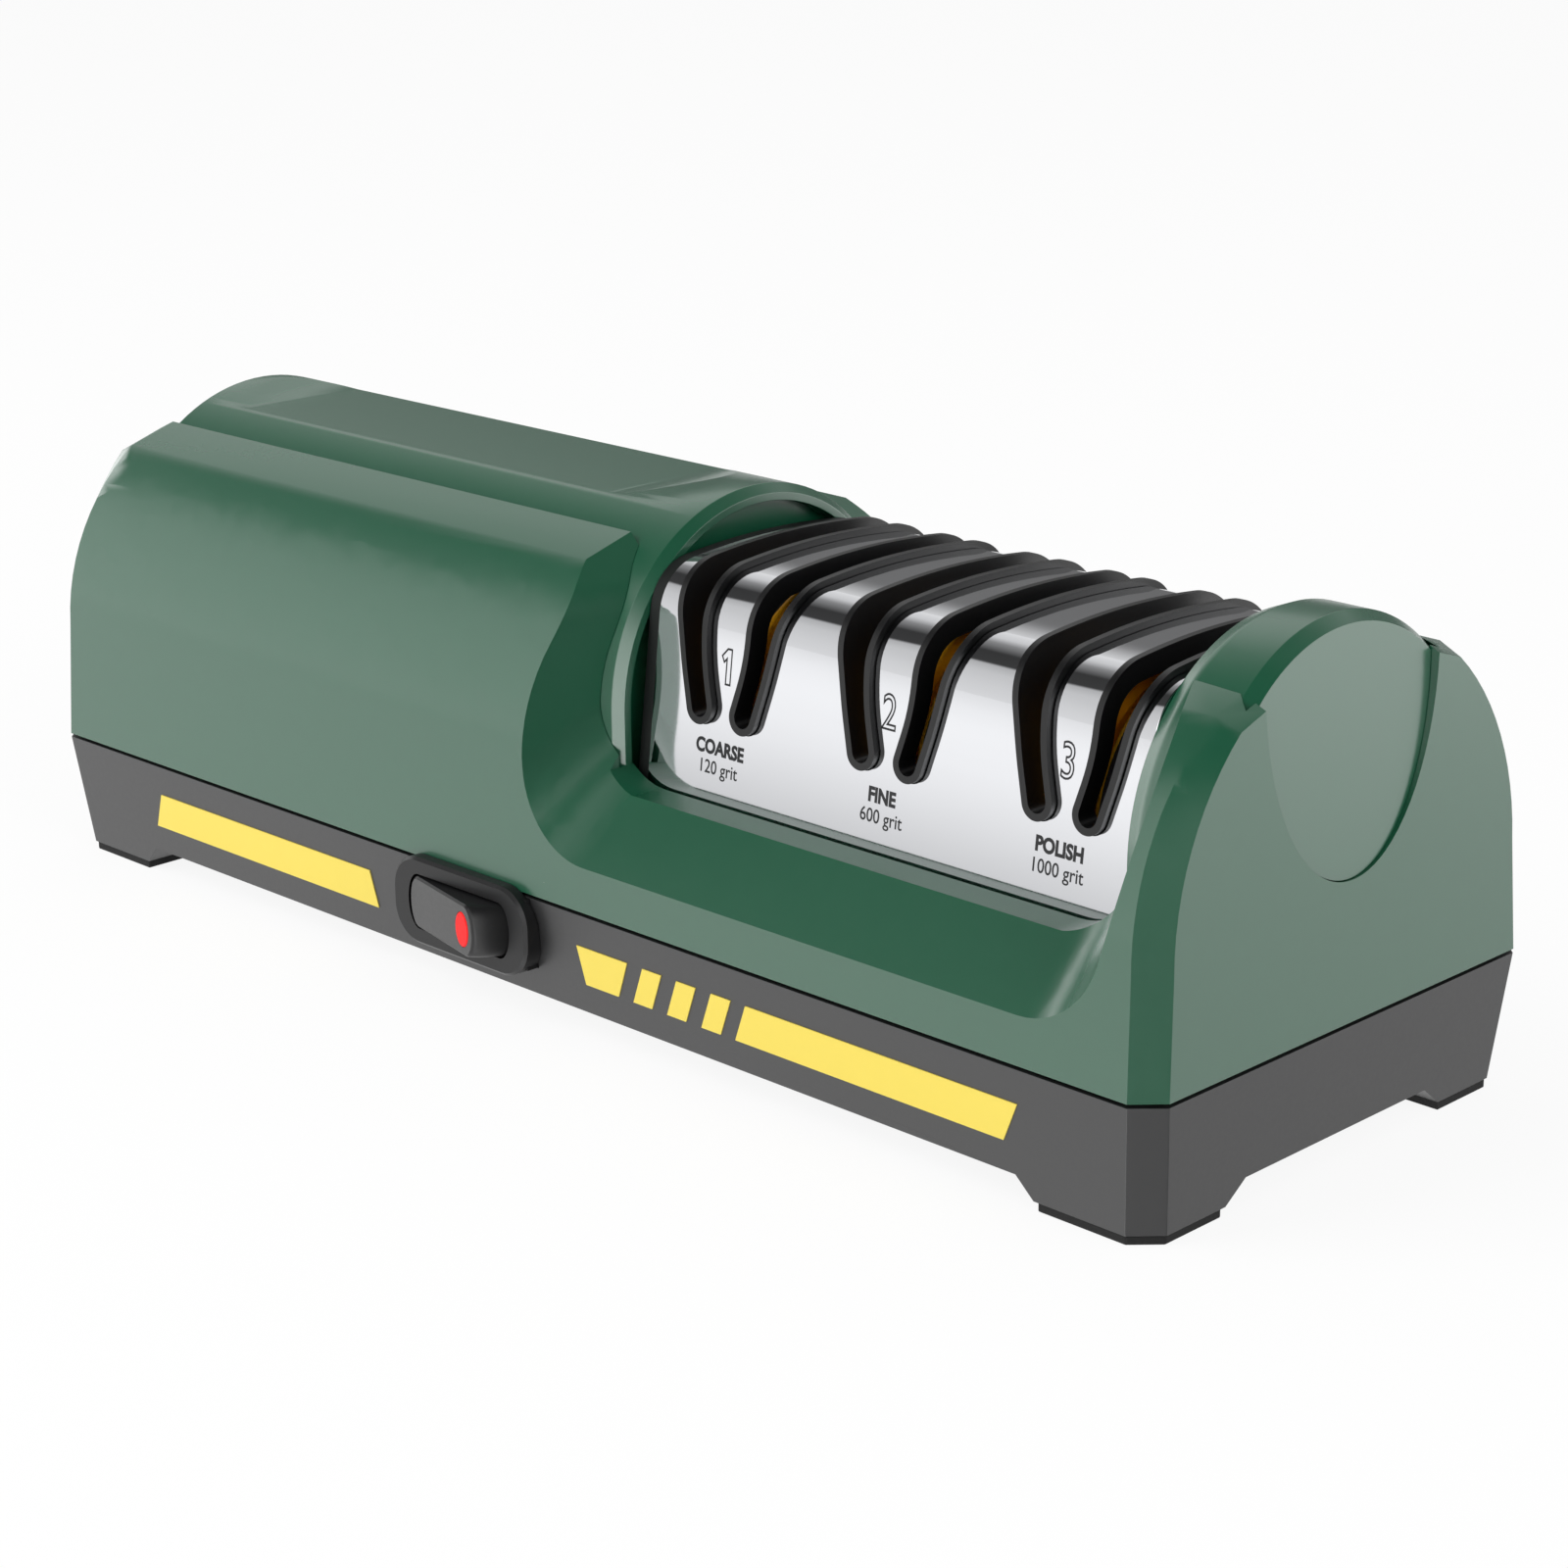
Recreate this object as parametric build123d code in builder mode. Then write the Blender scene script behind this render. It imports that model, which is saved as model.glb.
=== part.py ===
"""Electric knife sharpener with three grinding stages, made of separate pieces.

Frame: X runs along the body, with the three stages towards +X. The front, with
the labels and the rocker switch, faces -Y. Z is up, and the rubber pads stand on
Z = 0. The origin is the centre of the base. All sizes are in millimetres.
"""
import os
from math import atan2, cos, radians, sin, sqrt, tan

from build123d import *

os.makedirs("parts", exist_ok=True)

# ---------------------------------------------------------------- driving sizes
LENGTH = 250.0            # overall, along X
WIDTH = 88.0              # overall, at the split between base and housing
SPLIT_Z = 21.5            # height of the split between base and housing
CORNER_CHAMFER = 4.0      # chamfer on the four upright corners
CREST_CHAMFER = 1.7       # the same chamfer where it reaches the crease
END_LEAN = 2.0            # degrees that the end faces lean in
CLEARANCE = 0.1           # assembly gap between moulded pieces

# outer housing
SHELL_WALL = 2.5
SPLIT_GAP = 0.6           # shadow line between base and housing
SIDE_DRAFT = 1.0          # how far the side leans in below the waist
WAIST_Z = 42.0            # the side turns inwards above this height
SIDE_RADIUS = 37.4
CREASE_INSET = 15.5       # crease between the curved side and the top band
BAND_ANGLE = 18.4         # slope of the top band, degrees
CROWN_DROP = 3.0          # the shoulders fall by this much towards the far end
CROWN_START_X = 20.0

# arch covers (one over the motor, one at the far end)
ARCH_RADIUS = 31.0
ARCH_CENTRE_Z = 48.7
ARCH_WALL = 2.2
ARCH_FOOT_Z = 30.0        # lower edge of the straight legs
ARCH_CHAMFER = 1.35       # radial width of the chamfers round the ends
WINDOW_LENGTH = 99.4      # from the motor cover's end wall to the far cover's
WINDOW_RIM = 2.6          # rim of the motor cover's hollowed end wall
WINDOW_RECESS = 3.0
END_COVER_LENGTH = 16.6   # from the far cover's end wall to the end of the body
END_RECESS = 0.4          # the end plates start this far inside the end faces
PLATE_LEAN = 4.0          # degrees that the end plates lean in
PANEL_DEPTH = 2.4         # recess on top of the motor cover
PANEL_FLOOR = 1.6         # wall left under it
PANEL_LEFT_MARGIN = 18.0  # from the end of the body
PANEL_RIGHT_OFFSET = 19.4 # from the motor cover's end wall
PANEL_LEFT_RUN = 7.4      # length of the ramp at each end of the panel
PANEL_RIGHT_RUN = 10.2
PANEL_BLEND = 25.0
END_RUN = 2.0             # length along X of the chamfers at the body's ends
WINDOW_RUN = 1.6          # and at the two ends of the window
FAR_WINDOW_RUN = 3.4
BORE_MARGIN = 2.0         # round the spindle, where it passes a wall

# half-elliptic opening in each end face
END_OPENING_HALF_WIDTH = 19.8
END_OPENING_Z = 74.0
END_OPENING_DROP = 31.4

# pocket (scoop) in front and behind the grinding stages
LIP_Z = 38.1              # flat lip between the cover and the pocket's floor
LIP_WIDTH = 5.7
LIP_LEFT = 3.8            # the lip reaches this far past the window's ends
LIP_RIGHT = 1.8
LIP_CORNER = 11.0
POCKET_WALL = 2.5
POCKET_REACH = 2.0        # the face outline is drawn this far in front of the body
POCKET_INNER_Y = 18.0     # and the inner one here
POCKET_EDGE_Z = 29.1      # where the floor meets the front
POCKET_EDGE_INSET = 0.6
POCKET_INNER_FOOT_Z = 53.3
POCKET_FACE_LEFT = 9.9    # sides of the two outlines, outwards from the window's ends
POCKET_INNER_LEFT = -1.3
POCKET_FACE_RIGHT = 4.0
POCKET_INNER_RIGHT = -0.8
POCKET_FACE_TOP = 18.6
POCKET_INNER_TOP = 2.0
POCKET_FACE_CORNER = 15.0
POCKET_INNER_CORNER = 6.0
POCKET_TOP_Z = 75.4
POCKET_TOP_CORNER = 4.0
SHOULDER_Z = 65.5         # the left side leans out above this height
SHOULDER_STEP = 0.5
SHOULDER_FLARE = 10.1
SHOULDER_CORNER = 12.0

# stainless cover over the stages
COVER_SHEET = 0.8
COVER_HALF_WIDTH = 24.2   # at the start of the bend
COVER_LEAN = 7.0          # degrees that the front and back faces lean in
COVER_BEND = 8.5          # radius of the bend
COVER_TOP_Z = 71.9        # top, at the bends
DOME_ANGLE = 6.5          # slope of the domed top at the bends, degrees
COVER_FOOT_Z = 33.0
LEDGE_DEPTH = 2.5         # ledge of the housing under the cover's edges
LEDGE_INSIDE = 3.2
LEDGE_OUTSIDE = 2.6

# grinding stages
STAGE_PITCH = 33.65
LAST_STAGE_OFFSET = 14.1  # from the far cover's end wall
RIM_WIDTH = 1.1
RIM_HEIGHT = 1.1
GUIDE_PLATE = 1.5
GUIDE_HALF_WIDTH = 13.9
SLOT_FOOT_X = 4.6         # centre of a slot's round lower end, from the stage centre
SLOT_FOOT_Z = 52.4
SLOT_FOOT_RADIUS = 2.75
SLOT_FOOT_LEAN = 15.0
SLOT_OUTER_SIDE = ((8.9, 57.6), (10.25, 63.5), (11.5, 69.0), (12.0, 73.0))
SLOT_INNER_SIDE = ((3.3, 58.0), (4.05, 63.5), (4.1, 69.0), (4.2, 73.0))

# spindle line
AXIS_Z = 47.0
SPINDLE_RADIUS = 3.0
RUNNING_FIT = 0.05        # radial clearance of turning or sliding pieces
DISC_RADIUS = 21.8
DISC_FACE_X = 4.1         # grinding face, from the stage centre
GRIT_THICKNESS = 0.4
GRIT_RADIUS = 20.2
GRIT_BORE = 8.0
DISC_WEB = 1.5
DISC_RIM_DEPTH = 2.9
DISC_RIM_WIDTH = 2.3
DISC_CHAMFER = 0.4
HUB_RADIUS = 5.0
SPRING_WIRE = 0.35        # radius of the wire
SPRING_RADIUS = 5.6
SPRING_TURNS = 2.25
SPRING_GAP = 0.02         # between the coil's ends and the webs
RING_THICKNESS = 0.7
RING_RADIUS = 3.7
RING_MOUTH = 2.6
GROOVE_DEPTH = 0.4
FLAT_HEIGHT = 2.4         # drive flat, from the axis
SPINDLE_END = 0.8         # the spindle stands out of its right bush by this much
SPINDLE_CHAMFER = 0.4
BEARING_RADIUS = 6.0
BEARING_WIDTH = 6.0
BRACKET_THICKNESS = 7.0
BRACKET_HALF_WIDTH = 14.0
BRACKET_SCREW_Y = 18.0
BRACKET_WALL = 4.0        # round the bush
BRACKET_FOOT_HALF = 22.0
BRACKET_FOOT_HEIGHT = 4.0
BRACKET_WINDOW_Z = 17.0   # middle of its window, above the tray's floor
BRACKET_WINDOW_WIDTH = 13.0
BRACKET_WINDOW_HEIGHT = 14.0
BRACKET_WINDOW_CORNER = 3.0
LEFT_BEARING_OFFSET = 10.2    # from the motor cover's end wall
RIGHT_BEARING_OFFSET = 10.0   # from the end of the body
COUPLING_RADIUS = 6.5
COUPLING_LENGTH = 12.0
COUPLING_OFFSET = 20.5    # from the motor cover's end wall
COUPLING_CHAMFER = 0.8

# motor
MOTOR_RADIUS = 22.0
MOTOR_LENGTH = 54.0
MOTOR_OFFSET = 39.0       # from the motor cover's end wall to the can's front
MOTOR_WALL = 1.6
MOTOR_SHAFT_RADIUS = 2.5
MAGNET_THICKNESS = 4.0
CORE_GAP = 0.6
CORE_LENGTH = 34.0
REAR_CAP_LENGTH = 8.0
FAN_RADIUS = 17.0
FAN_LENGTH = 7.0
FAN_OFFSET = 31.5         # from the motor cover's end wall
FAN_BLADES = 9
FAN_HUB_RADIUS = 5.5
FAN_ROOT = 0.5            # the blades start this far inside the hub
FAN_WALL = 1.2
CAN_FACE = 2.5            # front wall of the can, back wall of the rear cap
NOSE_RADIUS = 6.5         # bearing seats at both ends
NOSE_LENGTH = 2.5
CAP_STEP = 2.0            # the rear cap is smaller than the can by this much
CAP_WALL = 3.0
CAP_FLANGE = 2.0
MAGNET_LENGTH = 40.0
MAGNET_GAP = 9.0
CORE_SLOTS = 7
CORE_SLOT_RADIUS = 3.2
CORE_SLOT_DEPTH = 4.5     # of the slots' centres under the core's surface
CORE_SLOT_MOUTH = 1.6
COMMUTATOR_GAP = 1.5
COMMUTATOR_LENGTH = 7.0
COMMUTATOR_RADIUS = 5.5
COMMUTATOR_SLOT = 0.5
COMMUTATOR_SLOT_DEPTH = 1.6
CRADLE_DROP = 9.0         # the saddles end this far under the axis
FRONT_SADDLE = 12.0       # from the can's front to the saddle's centre
REAR_SADDLE = 13.0
SADDLE_WIDTH = 5.0
RAIL_SIZE = 5.0

# base tray
BASE_WALL = 2.5
BASE_TAPER_X = 1.8        # how far each end leans in at the bottom
BASE_TAPER_Y = 2.4
PAD_HEIGHT = 1.5
BELLY_Z = 4.7             # underside between the corner feet
FLOOR_Z = 7.2             # inside floor
FOOT_LENGTH = 22.0        # corner feet
FOOT_WIDTH = 19.0
FOOT_SLOPE_X = 3.0        # run of the slopes from the feet up to the belly
FOOT_SLOPE_Y = 4.0
LIP_HEIGHT = 2.4          # locating lip inside the housing
LIP_WALL = 1.5
SHELF_HEIGHT = 3.0        # inward shelf that carries the lip
POST_MARGIN = 1.0         # the tray's screw posts are wider than the bosses
OPENING_DEPTH = 16.0      # of the switch and inlet openings
VENT_COUNT = 9            # cooling slots under the motor, in two rows
VENT_PITCH = 5.5
VENT_ROW_PITCH = 24.0
VENT_LENGTH = 16.0
VENT_WIDTH = 2.4
PAD_INSET = 0.35          # the pads are smaller than the feet by this much
PAD_MARGIN = 0.5

# switch
SWITCH_OFFSET = 21.6      # from the motor cover's end wall
SWITCH_Z = 15.2
BEZEL_LENGTH = 32.0
BEZEL_HEIGHT = 14.6
BEZEL_PROUD = 2.2         # how far the bezel stands in front of the body
BEZEL_CORNER = 6.0
BEZEL_DEPTH = 6.0
BEZEL_CHAMFER = 0.5
BEZEL_GAP = 0.03          # between the bezel's back and the sloping front
BEZEL_STEP = 1.5          # the plug starts this far behind the bezel's face
PLUG_WALL = 1.2
PLUG_WINDOW = 14.0        # opening behind the rocker
SWING_DEPTH = 5.7         # rocker axis behind the bezel's face
PIVOT_RADIUS = 1.0
ROCKER_LENGTH = 23.6
ROCKER_HEIGHT = 8.6
ROCKER_THROW = 12.0       # degrees that the rocker leans out at its right end
ROCKER_CLEARANCE = 0.3
ROCKER_ROUND = 2.2        # depth of the rounded ends
ROCKER_PROUD = 2.3        # the rocker's face stands out of the bezel in mid-swing
ROCKER_HUB = 8.0          # half length of the part behind the axis
ROCKER_CHAMFER = 0.35
LED_X = 7.0               # from the middle of the rocker
LED_RADIUS_X = 2.1
LED_RADIUS_Z = 2.9
LED_DEPTH = 1.5
LED_PROUD = 0.1
SWITCH_BODY_SIZE = (20.0, 11.0, 10.4)
SWITCH_BODY_DROP = 0.4    # its middle lies this far under the rocker's
SWITCH_BODY_GAP = 4.1     # from the rocker's axis to the plug's back
TAB_SIZE = (0.8, 5.0, 4.8)
TAB_OFFSET = 6.0

# yellow front labels
LABEL_THICKNESS = 0.15
LABEL_TOP_Z = 15.9
LABEL_BOTTOM_Z = 9.6
LEFT_STRIP_OFFSETS = (29.7, 27.0)     # its left end from the end of the body, top and bottom
LEFT_STRIP_GAPS = (25.5, 24.4)        # its right end from the switch
WEDGE_OFFSETS = (24.7, 36.0, 25.9, 33.2)
BAR_OFFSETS = (39.4, 43.5, 36.5, 40.6)
BAR_COUNT = 3
BAR_PITCH = 7.4
RIGHT_STRIP_GAPS = (61.4, 58.5)
RIGHT_STRIP_OFFSETS = (23.6, 26.6)

# fasteners and electrics
SCREW_RADIUS = 1.4
SCREW_HEAD_RADIUS = 3.0
SCREW_HEAD_HEIGHT = 2.0
CASE_SCREW_INSET_X = 11.0 # from the sides of the body
CASE_SCREW_INSET_Y = 8.0
SCREW_BITE = 12.0         # length of the case screws in the housing's bosses
SCREW_TIP_GAP = 2.0
HEAD_CLEARANCE = 0.3
DRIVE_SPAN = 3.6          # cross recess of the heads
DRIVE_SLOT = 0.8
DRIVE_DEPTH = 1.2
BOSS_RADIUS = 3.2
INLET_OFFSET = 31.0       # from the end of the body
INLET_Z = 13.6
INLET_LENGTH = 20.0
INLET_HEIGHT = 11.0
INLET_RECESS = 0.3
INLET_DEPTH = 15.7
INLET_CORNER = 2.0
SOCKET_HEIGHT = 7.4
SOCKET_DEPTH = 11.0
PIN_SPACING = 8.6
PIN_RADIUS = 1.2
PIN_RECESS = 1.5
PIN_TAIL = 1.0
BOARD_LENGTH = 56.0
BOARD_WIDTH = 20.0
BOARD_MARGIN = 5.5        # from the end of the body
BOARD_Y = -3.0
BOARD_Z = 12.0
BOARD_THICKNESS = 1.6
BOARD_HOLES_X = 15.0
BOARD_HOLES_Y = 50.0
BOARD_HOLE_RADIUS = 1.2
BOARD_POST_RADIUS = 2.2
TRANSFORMER_SIZE = (15.0, 16.0, 12.0)
TRANSFORMER_OFFSET = 12.0
CAPACITOR_RADIUS = 4.0
CAPACITOR_HEIGHT = 13.0
CAPACITOR_OFFSET = (3.0, 4.0)
RELAY_SIZE = (13.0, 6.0, 8.0)
RELAY_OFFSET = (2.0, 16.0)

# ------------------------------------------------------------- derived sizes
HALF_LENGTH = LENGTH / 2
HALF_WIDTH = WIDTH / 2
WINDOW_RIGHT_X = HALF_LENGTH - END_COVER_LENGTH
WINDOW_LEFT_X = WINDOW_RIGHT_X - WINDOW_LENGTH
STAGE_CENTRES = [WINDOW_RIGHT_X - LAST_STAGE_OFFSET - n * STAGE_PITCH for n in (2, 1, 0)]
LEFT_BEARING_X = WINDOW_LEFT_X - LEFT_BEARING_OFFSET
RIGHT_BEARING_X = HALF_LENGTH - RIGHT_BEARING_OFFSET
COUPLING_X = WINDOW_LEFT_X - COUPLING_OFFSET
MOTOR_FRONT_X = WINDOW_LEFT_X - MOTOR_OFFSET
FAN_X = WINDOW_LEFT_X - FAN_OFFSET
SWITCH_X = WINDOW_LEFT_X - SWITCH_OFFSET
INLET_X = INLET_OFFSET - HALF_LENGTH
PANEL_LEFT_X = PANEL_LEFT_MARGIN - HALF_LENGTH
PANEL_RIGHT_X = WINDOW_LEFT_X - PANEL_RIGHT_OFFSET
ARCH_TOP_Z = ARCH_CENTRE_Z + ARCH_RADIUS
PANEL_Z = ARCH_TOP_Z - PANEL_DEPTH
ARCH_CEILING_Z = PANEL_Z - PANEL_FLOOR
BEZEL_FACE_Y = -HALF_WIDTH - BEZEL_PROUD
FOOT_X = HALF_LENGTH - FOOT_LENGTH
FOOT_Y = HALF_WIDTH - FOOT_WIDTH
CASE_SCREW_X = HALF_LENGTH - CASE_SCREW_INSET_X
CASE_SCREW_Y = HALF_WIDTH - CASE_SCREW_INSET_Y
SCREW_SEAT_Z = BELLY_Z + HEAD_CLEARANCE
BRACKET_SCREW_HOLE_Z = BELLY_Z + 2 * HEAD_CLEARANCE
BOARD_X = BOARD_MARGIN + BOARD_WIDTH / 2 - HALF_LENGTH
CREASE_Y = HALF_WIDTH - CREASE_INSET
POCKET_FACE_Y = HALF_WIDTH + POCKET_REACH
POCKET_SLOPE = ((POCKET_INNER_FOOT_Z - POCKET_EDGE_Z)
                / (HALF_WIDTH - POCKET_EDGE_INSET - POCKET_INNER_Y))
POCKET_FACE_FOOT_Z = POCKET_EDGE_Z - POCKET_SLOPE * (POCKET_REACH + POCKET_EDGE_INSET)
SIDE_CENTRE_Y = HALF_WIDTH - SIDE_DRAFT - SIDE_RADIUS
BAND_NORMAL = (sin(radians(BAND_ANGLE)), cos(radians(BAND_ANGLE)))
CREASE_Z = WAIST_Z + sqrt(SIDE_RADIUS**2 - (CREASE_Y - SIDE_CENTRE_Y)**2)
SEAM_Y = 19.2
SHELL_FOOT_Z = SPLIT_Z + SPLIT_GAP / 2
TRAY_TOP_Z = SPLIT_Z - SPLIT_GAP / 2
FRONT_SLOPE = BASE_TAPER_Y / (SPLIT_Z - PAD_HEIGHT)


def save(builder, name):
    """Label a finished piece and write it as the STEP file of its node."""
    builder.part.label = name
    export_step(builder.part, f"parts/{name}.step")


# ------------------------------------------------------------ section helpers
def crease_point(inset, drop):
    """Where the curved side meets the top band, for a section set in by a wall."""
    n_y, n_z = BAND_NORMAL
    waist_z = WAIST_Z - drop
    radius = SIDE_RADIUS - inset
    offset_y = CREASE_Y - drop - SIDE_CENTRE_Y
    height = n_y * offset_y + n_z * sqrt(SIDE_RADIUS**2 - offset_y**2) - inset
    half_chord = sqrt(radius**2 - height**2)
    return (SIDE_CENTRE_Y + height * n_y + half_chord * n_z,
            waist_z + height * n_z - half_chord * n_y)


def section_face(foot_y, foot_z, waist_z, crease, centre_y, stretch=1.0):
    """A housing outline: draft line, side arc, top band; stretch suits a leaning plane."""
    waist = (foot_y - SIDE_DRAFT, waist_z)
    angle = atan2(crease[1] - waist_z, crease[0] - centre_y) / 2
    radius = waist[0] - centre_y
    middle = (centre_y + radius * cos(angle), waist_z + radius * sin(angle))
    seam_z = crease[1] + (crease[0] - SEAM_Y) * tan(radians(BAND_ANGLE))
    corners = [(0, foot_z), (foot_y, foot_z), waist, middle, crease, (SEAM_Y, seam_z), (0, seam_z)]
    points = [(y, z * stretch) for y, z in corners]
    with BuildSketch() as section:
        with BuildLine():
            Line(points[0], points[1])
            Line(points[1], points[2])
            ThreePointArc(*points[2:5])
            Line(points[4], points[5])
            Line(points[5], points[6])
            mirror(about=Plane.YZ)
        make_face()
    return section.sketch


def housing_section(inset, foot_z, drop=0.0, stretch=1.0):
    """The closed housing section, with Y along the sketch and Z up."""
    crease = crease_point(inset, drop)
    return section_face(HALF_WIDTH - inset, foot_z, WAIST_Z - drop, crease, SIDE_CENTRE_Y, stretch)


def end_outline(drop, stretch):
    """Outline of an end face: its chamfer narrows from the waist up to the crease."""
    n_y, n_z = BAND_NORMAL
    outer = crease_point(0, drop)
    crease = (outer[0] - CREST_CHAMFER * n_y, outer[1] - CREST_CHAMFER * n_z)
    foot_y = HALF_WIDTH - CORNER_CHAMFER
    waist_y = foot_y - SIDE_DRAFT
    rise = crease[1] - (WAIST_Z - drop)
    centre_y = (waist_y**2 - crease[0]**2 - rise**2) / (2 * (waist_y - crease[0]))
    return section_face(foot_y, SHELL_FOOT_Z, WAIST_Z - drop, crease, centre_y, stretch)


def leaning_plane(end_sign, split_x, lean):
    """A plane across the body that leans in, and is at split_x at the split's height."""
    angle = radians(lean)
    base_x = split_x + SPLIT_Z * tan(angle)
    return Plane(origin=(end_sign * base_x, 0, 0), x_dir=(0, 1, 0),
                 z_dir=(cos(angle), 0, end_sign * sin(angle)))


def arch_section(radius, foot_z):
    """An arch with straight legs."""
    with BuildSketch() as section:
        with BuildLine():
            Line((-radius, foot_z), (radius, foot_z))
            Line((radius, foot_z), (radius, ARCH_CENTRE_Z))
            ThreePointArc((radius, ARCH_CENTRE_Z), (0, ARCH_CENTRE_Z + radius), (-radius, ARCH_CENTRE_Z))
            Line((-radius, ARCH_CENTRE_Z), (-radius, foot_z))
        make_face()
    return section.sketch


def end_opening(margin):
    """The half-elliptic end opening, with a straight open top."""
    half = END_OPENING_HALF_WIDTH + margin
    drop = END_OPENING_DROP + margin
    with BuildSketch() as section:
        with BuildLine():
            EllipticalCenterArc((0, END_OPENING_Z), half, drop, start_angle=180, arc_size=180)
            Polyline((half, END_OPENING_Z), (half, ARCH_TOP_Z + drop), (-half, ARCH_TOP_Z + drop),
                     (-half, END_OPENING_Z))
        make_face()
    return section.sketch


def pocket_outline(outer, grow):
    """One U-shaped pocket outline in the XZ plane; outer is the face-side one."""
    foot_z = POCKET_FACE_FOOT_Z if outer else POCKET_INNER_FOOT_Z
    left_x = WINDOW_LEFT_X - (POCKET_FACE_LEFT if outer else POCKET_INNER_LEFT)
    right_x = WINDOW_RIGHT_X + (POCKET_FACE_RIGHT if outer else POCKET_INNER_RIGHT)
    right_top = WINDOW_RIGHT_X + (POCKET_FACE_TOP if outer else POCKET_INNER_TOP)
    far_left, far_right, sky_z = left_x - WIDTH / 2, right_top + WIDTH / 4, 2 * POCKET_TOP_Z
    with BuildSketch() as section:
        with BuildLine():
            Polyline(
                (left_x - grow, foot_z - grow),
                (right_x + grow, foot_z - grow),
                (right_top + grow, POCKET_TOP_Z),
                (far_right, POCKET_TOP_Z), (far_right, sky_z),
                (far_left, sky_z), (far_left, POCKET_TOP_Z),
                (left_x - SHOULDER_FLARE - grow, POCKET_TOP_Z),
                (left_x - SHOULDER_STEP - grow, SHOULDER_Z),
                close=True,
            )
        make_face()
        corners = vertices().sort_by(Axis.Y)
        fillet(corners[0:2], radius=POCKET_FACE_CORNER if outer else POCKET_INNER_CORNER)
        fillet(vertices().filter_by_position(Axis.Y, SHOULDER_Z, SHOULDER_Z), radius=SHOULDER_CORNER)
        tops = vertices().filter_by_position(Axis.Y, POCKET_TOP_Z, POCKET_TOP_Z)
        tops = tops.filter_by_position(Axis.X, far_left + 1, far_right - 1)
        fillet(tops, radius=POCKET_TOP_CORNER)
    return section.sketch


def cover_section(offset_out, foot_z):
    """The bent cover's section, moved outwards by offset_out."""
    lean = radians(COVER_LEAN)
    dome = radians(90 - DOME_ANGLE)
    bend_z = COVER_TOP_Z - COVER_BEND
    bend_y = COVER_HALF_WIDTH - COVER_BEND
    radius = COVER_BEND + offset_out
    start = (bend_y + radius * cos(lean), bend_z + radius * sin(lean))
    middle = (bend_y + radius * cos((lean + dome) / 2), bend_z + radius * sin((lean + dome) / 2))
    end = (bend_y + radius * cos(dome), bend_z + radius * sin(dome))
    foot = (start[0] + (start[1] - foot_z) * tan(lean), foot_z)
    apex_z = bend_z - bend_y * tan(dome) + bend_y / cos(dome) + radius
    with BuildSketch() as section:
        with BuildLine():
            Line((-foot[0], foot_z), foot)
            Line(foot, start)
            ThreePointArc(start, middle, end)
            ThreePointArc(end, (0, apex_z), (-end[0], end[1]))
            ThreePointArc((-end[0], end[1]), (-middle[0], middle[1]), (-start[0], start[1]))
            Line((-start[0], start[1]), (-foot[0], foot_z))
        make_face()
    return section.sketch


def cover_solid(x_low, x_high, offset_out, foot_z):
    """Everything inside the cover's section between two X stations."""
    with BuildPart() as solid:
        with BuildSketch(Plane.YZ.offset(x_low)):
            add(cover_section(offset_out, foot_z))
        extrude(amount=x_high - x_low)
    return solid.part


def slot_prism(centre, side, margin):
    """A knife slot's shape carried through along Y; margin shrinks it all round."""
    lean = radians(SLOT_FOOT_LEAN)
    radius = SLOT_FOOT_RADIUS - margin
    foot = (SLOT_FOOT_X, SLOT_FOOT_Z)
    outer_foot = (foot[0] + radius * cos(lean), foot[1] - radius * sin(lean))
    inner_foot = (foot[0] - radius * cos(lean), foot[1] + radius * sin(lean))
    low = (foot[0] - radius * sin(lean), foot[1] - radius * cos(lean))
    outer = [outer_foot] + [(x - margin, z) for x, z in SLOT_OUTER_SIDE]
    inner = [inner_foot] + [(x + margin, z) for x, z in SLOT_INNER_SIDE]
    up = (sin(lean), cos(lean))
    with BuildPart() as prism:
        with BuildSketch(Plane.XZ):
            with BuildLine():
                Spline(*outer, tangents=(up, (0, 1)))
                Polyline(outer[-1], (outer[-1][0], ARCH_TOP_Z), (inner[-1][0], ARCH_TOP_Z), inner[-1])
                Spline(*reversed(inner), tangents=((0, -1), (-up[0], -up[1])))
                ThreePointArc(inner_foot, low, outer_foot)
            make_face()
        extrude(amount=WIDTH / 2, both=True)
    shape = prism.part if side > 0 else prism.part.mirror(Plane.YZ)
    return Pos(centre, 0, 0) * shape


# ------------------------------------------------------------- housing shell
END_WALL = SHELL_WALL + 1.0
COVER_LIP_HALF = (COVER_HALF_WIDTH
                  + (COVER_TOP_Z - COVER_BEND - COVER_FOOT_Z) * tan(radians(COVER_LEAN))
                  + 2 * CLEARANCE)

LIP_HALF_WIDTH = COVER_LIP_HALF + LIP_WIDTH
LEDGE_Z = COVER_FOOT_Z - LEDGE_DEPTH
LEDGE_INNER_Y = COVER_LIP_HALF - LEDGE_INSIDE
LEDGE_OUTER_Y = COVER_LIP_HALF + LEDGE_OUTSIDE

END_STRETCH = 1 / cos(radians(END_LEAN))
CHAMFER_X = HALF_LENGTH - CORNER_CHAMFER

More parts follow.
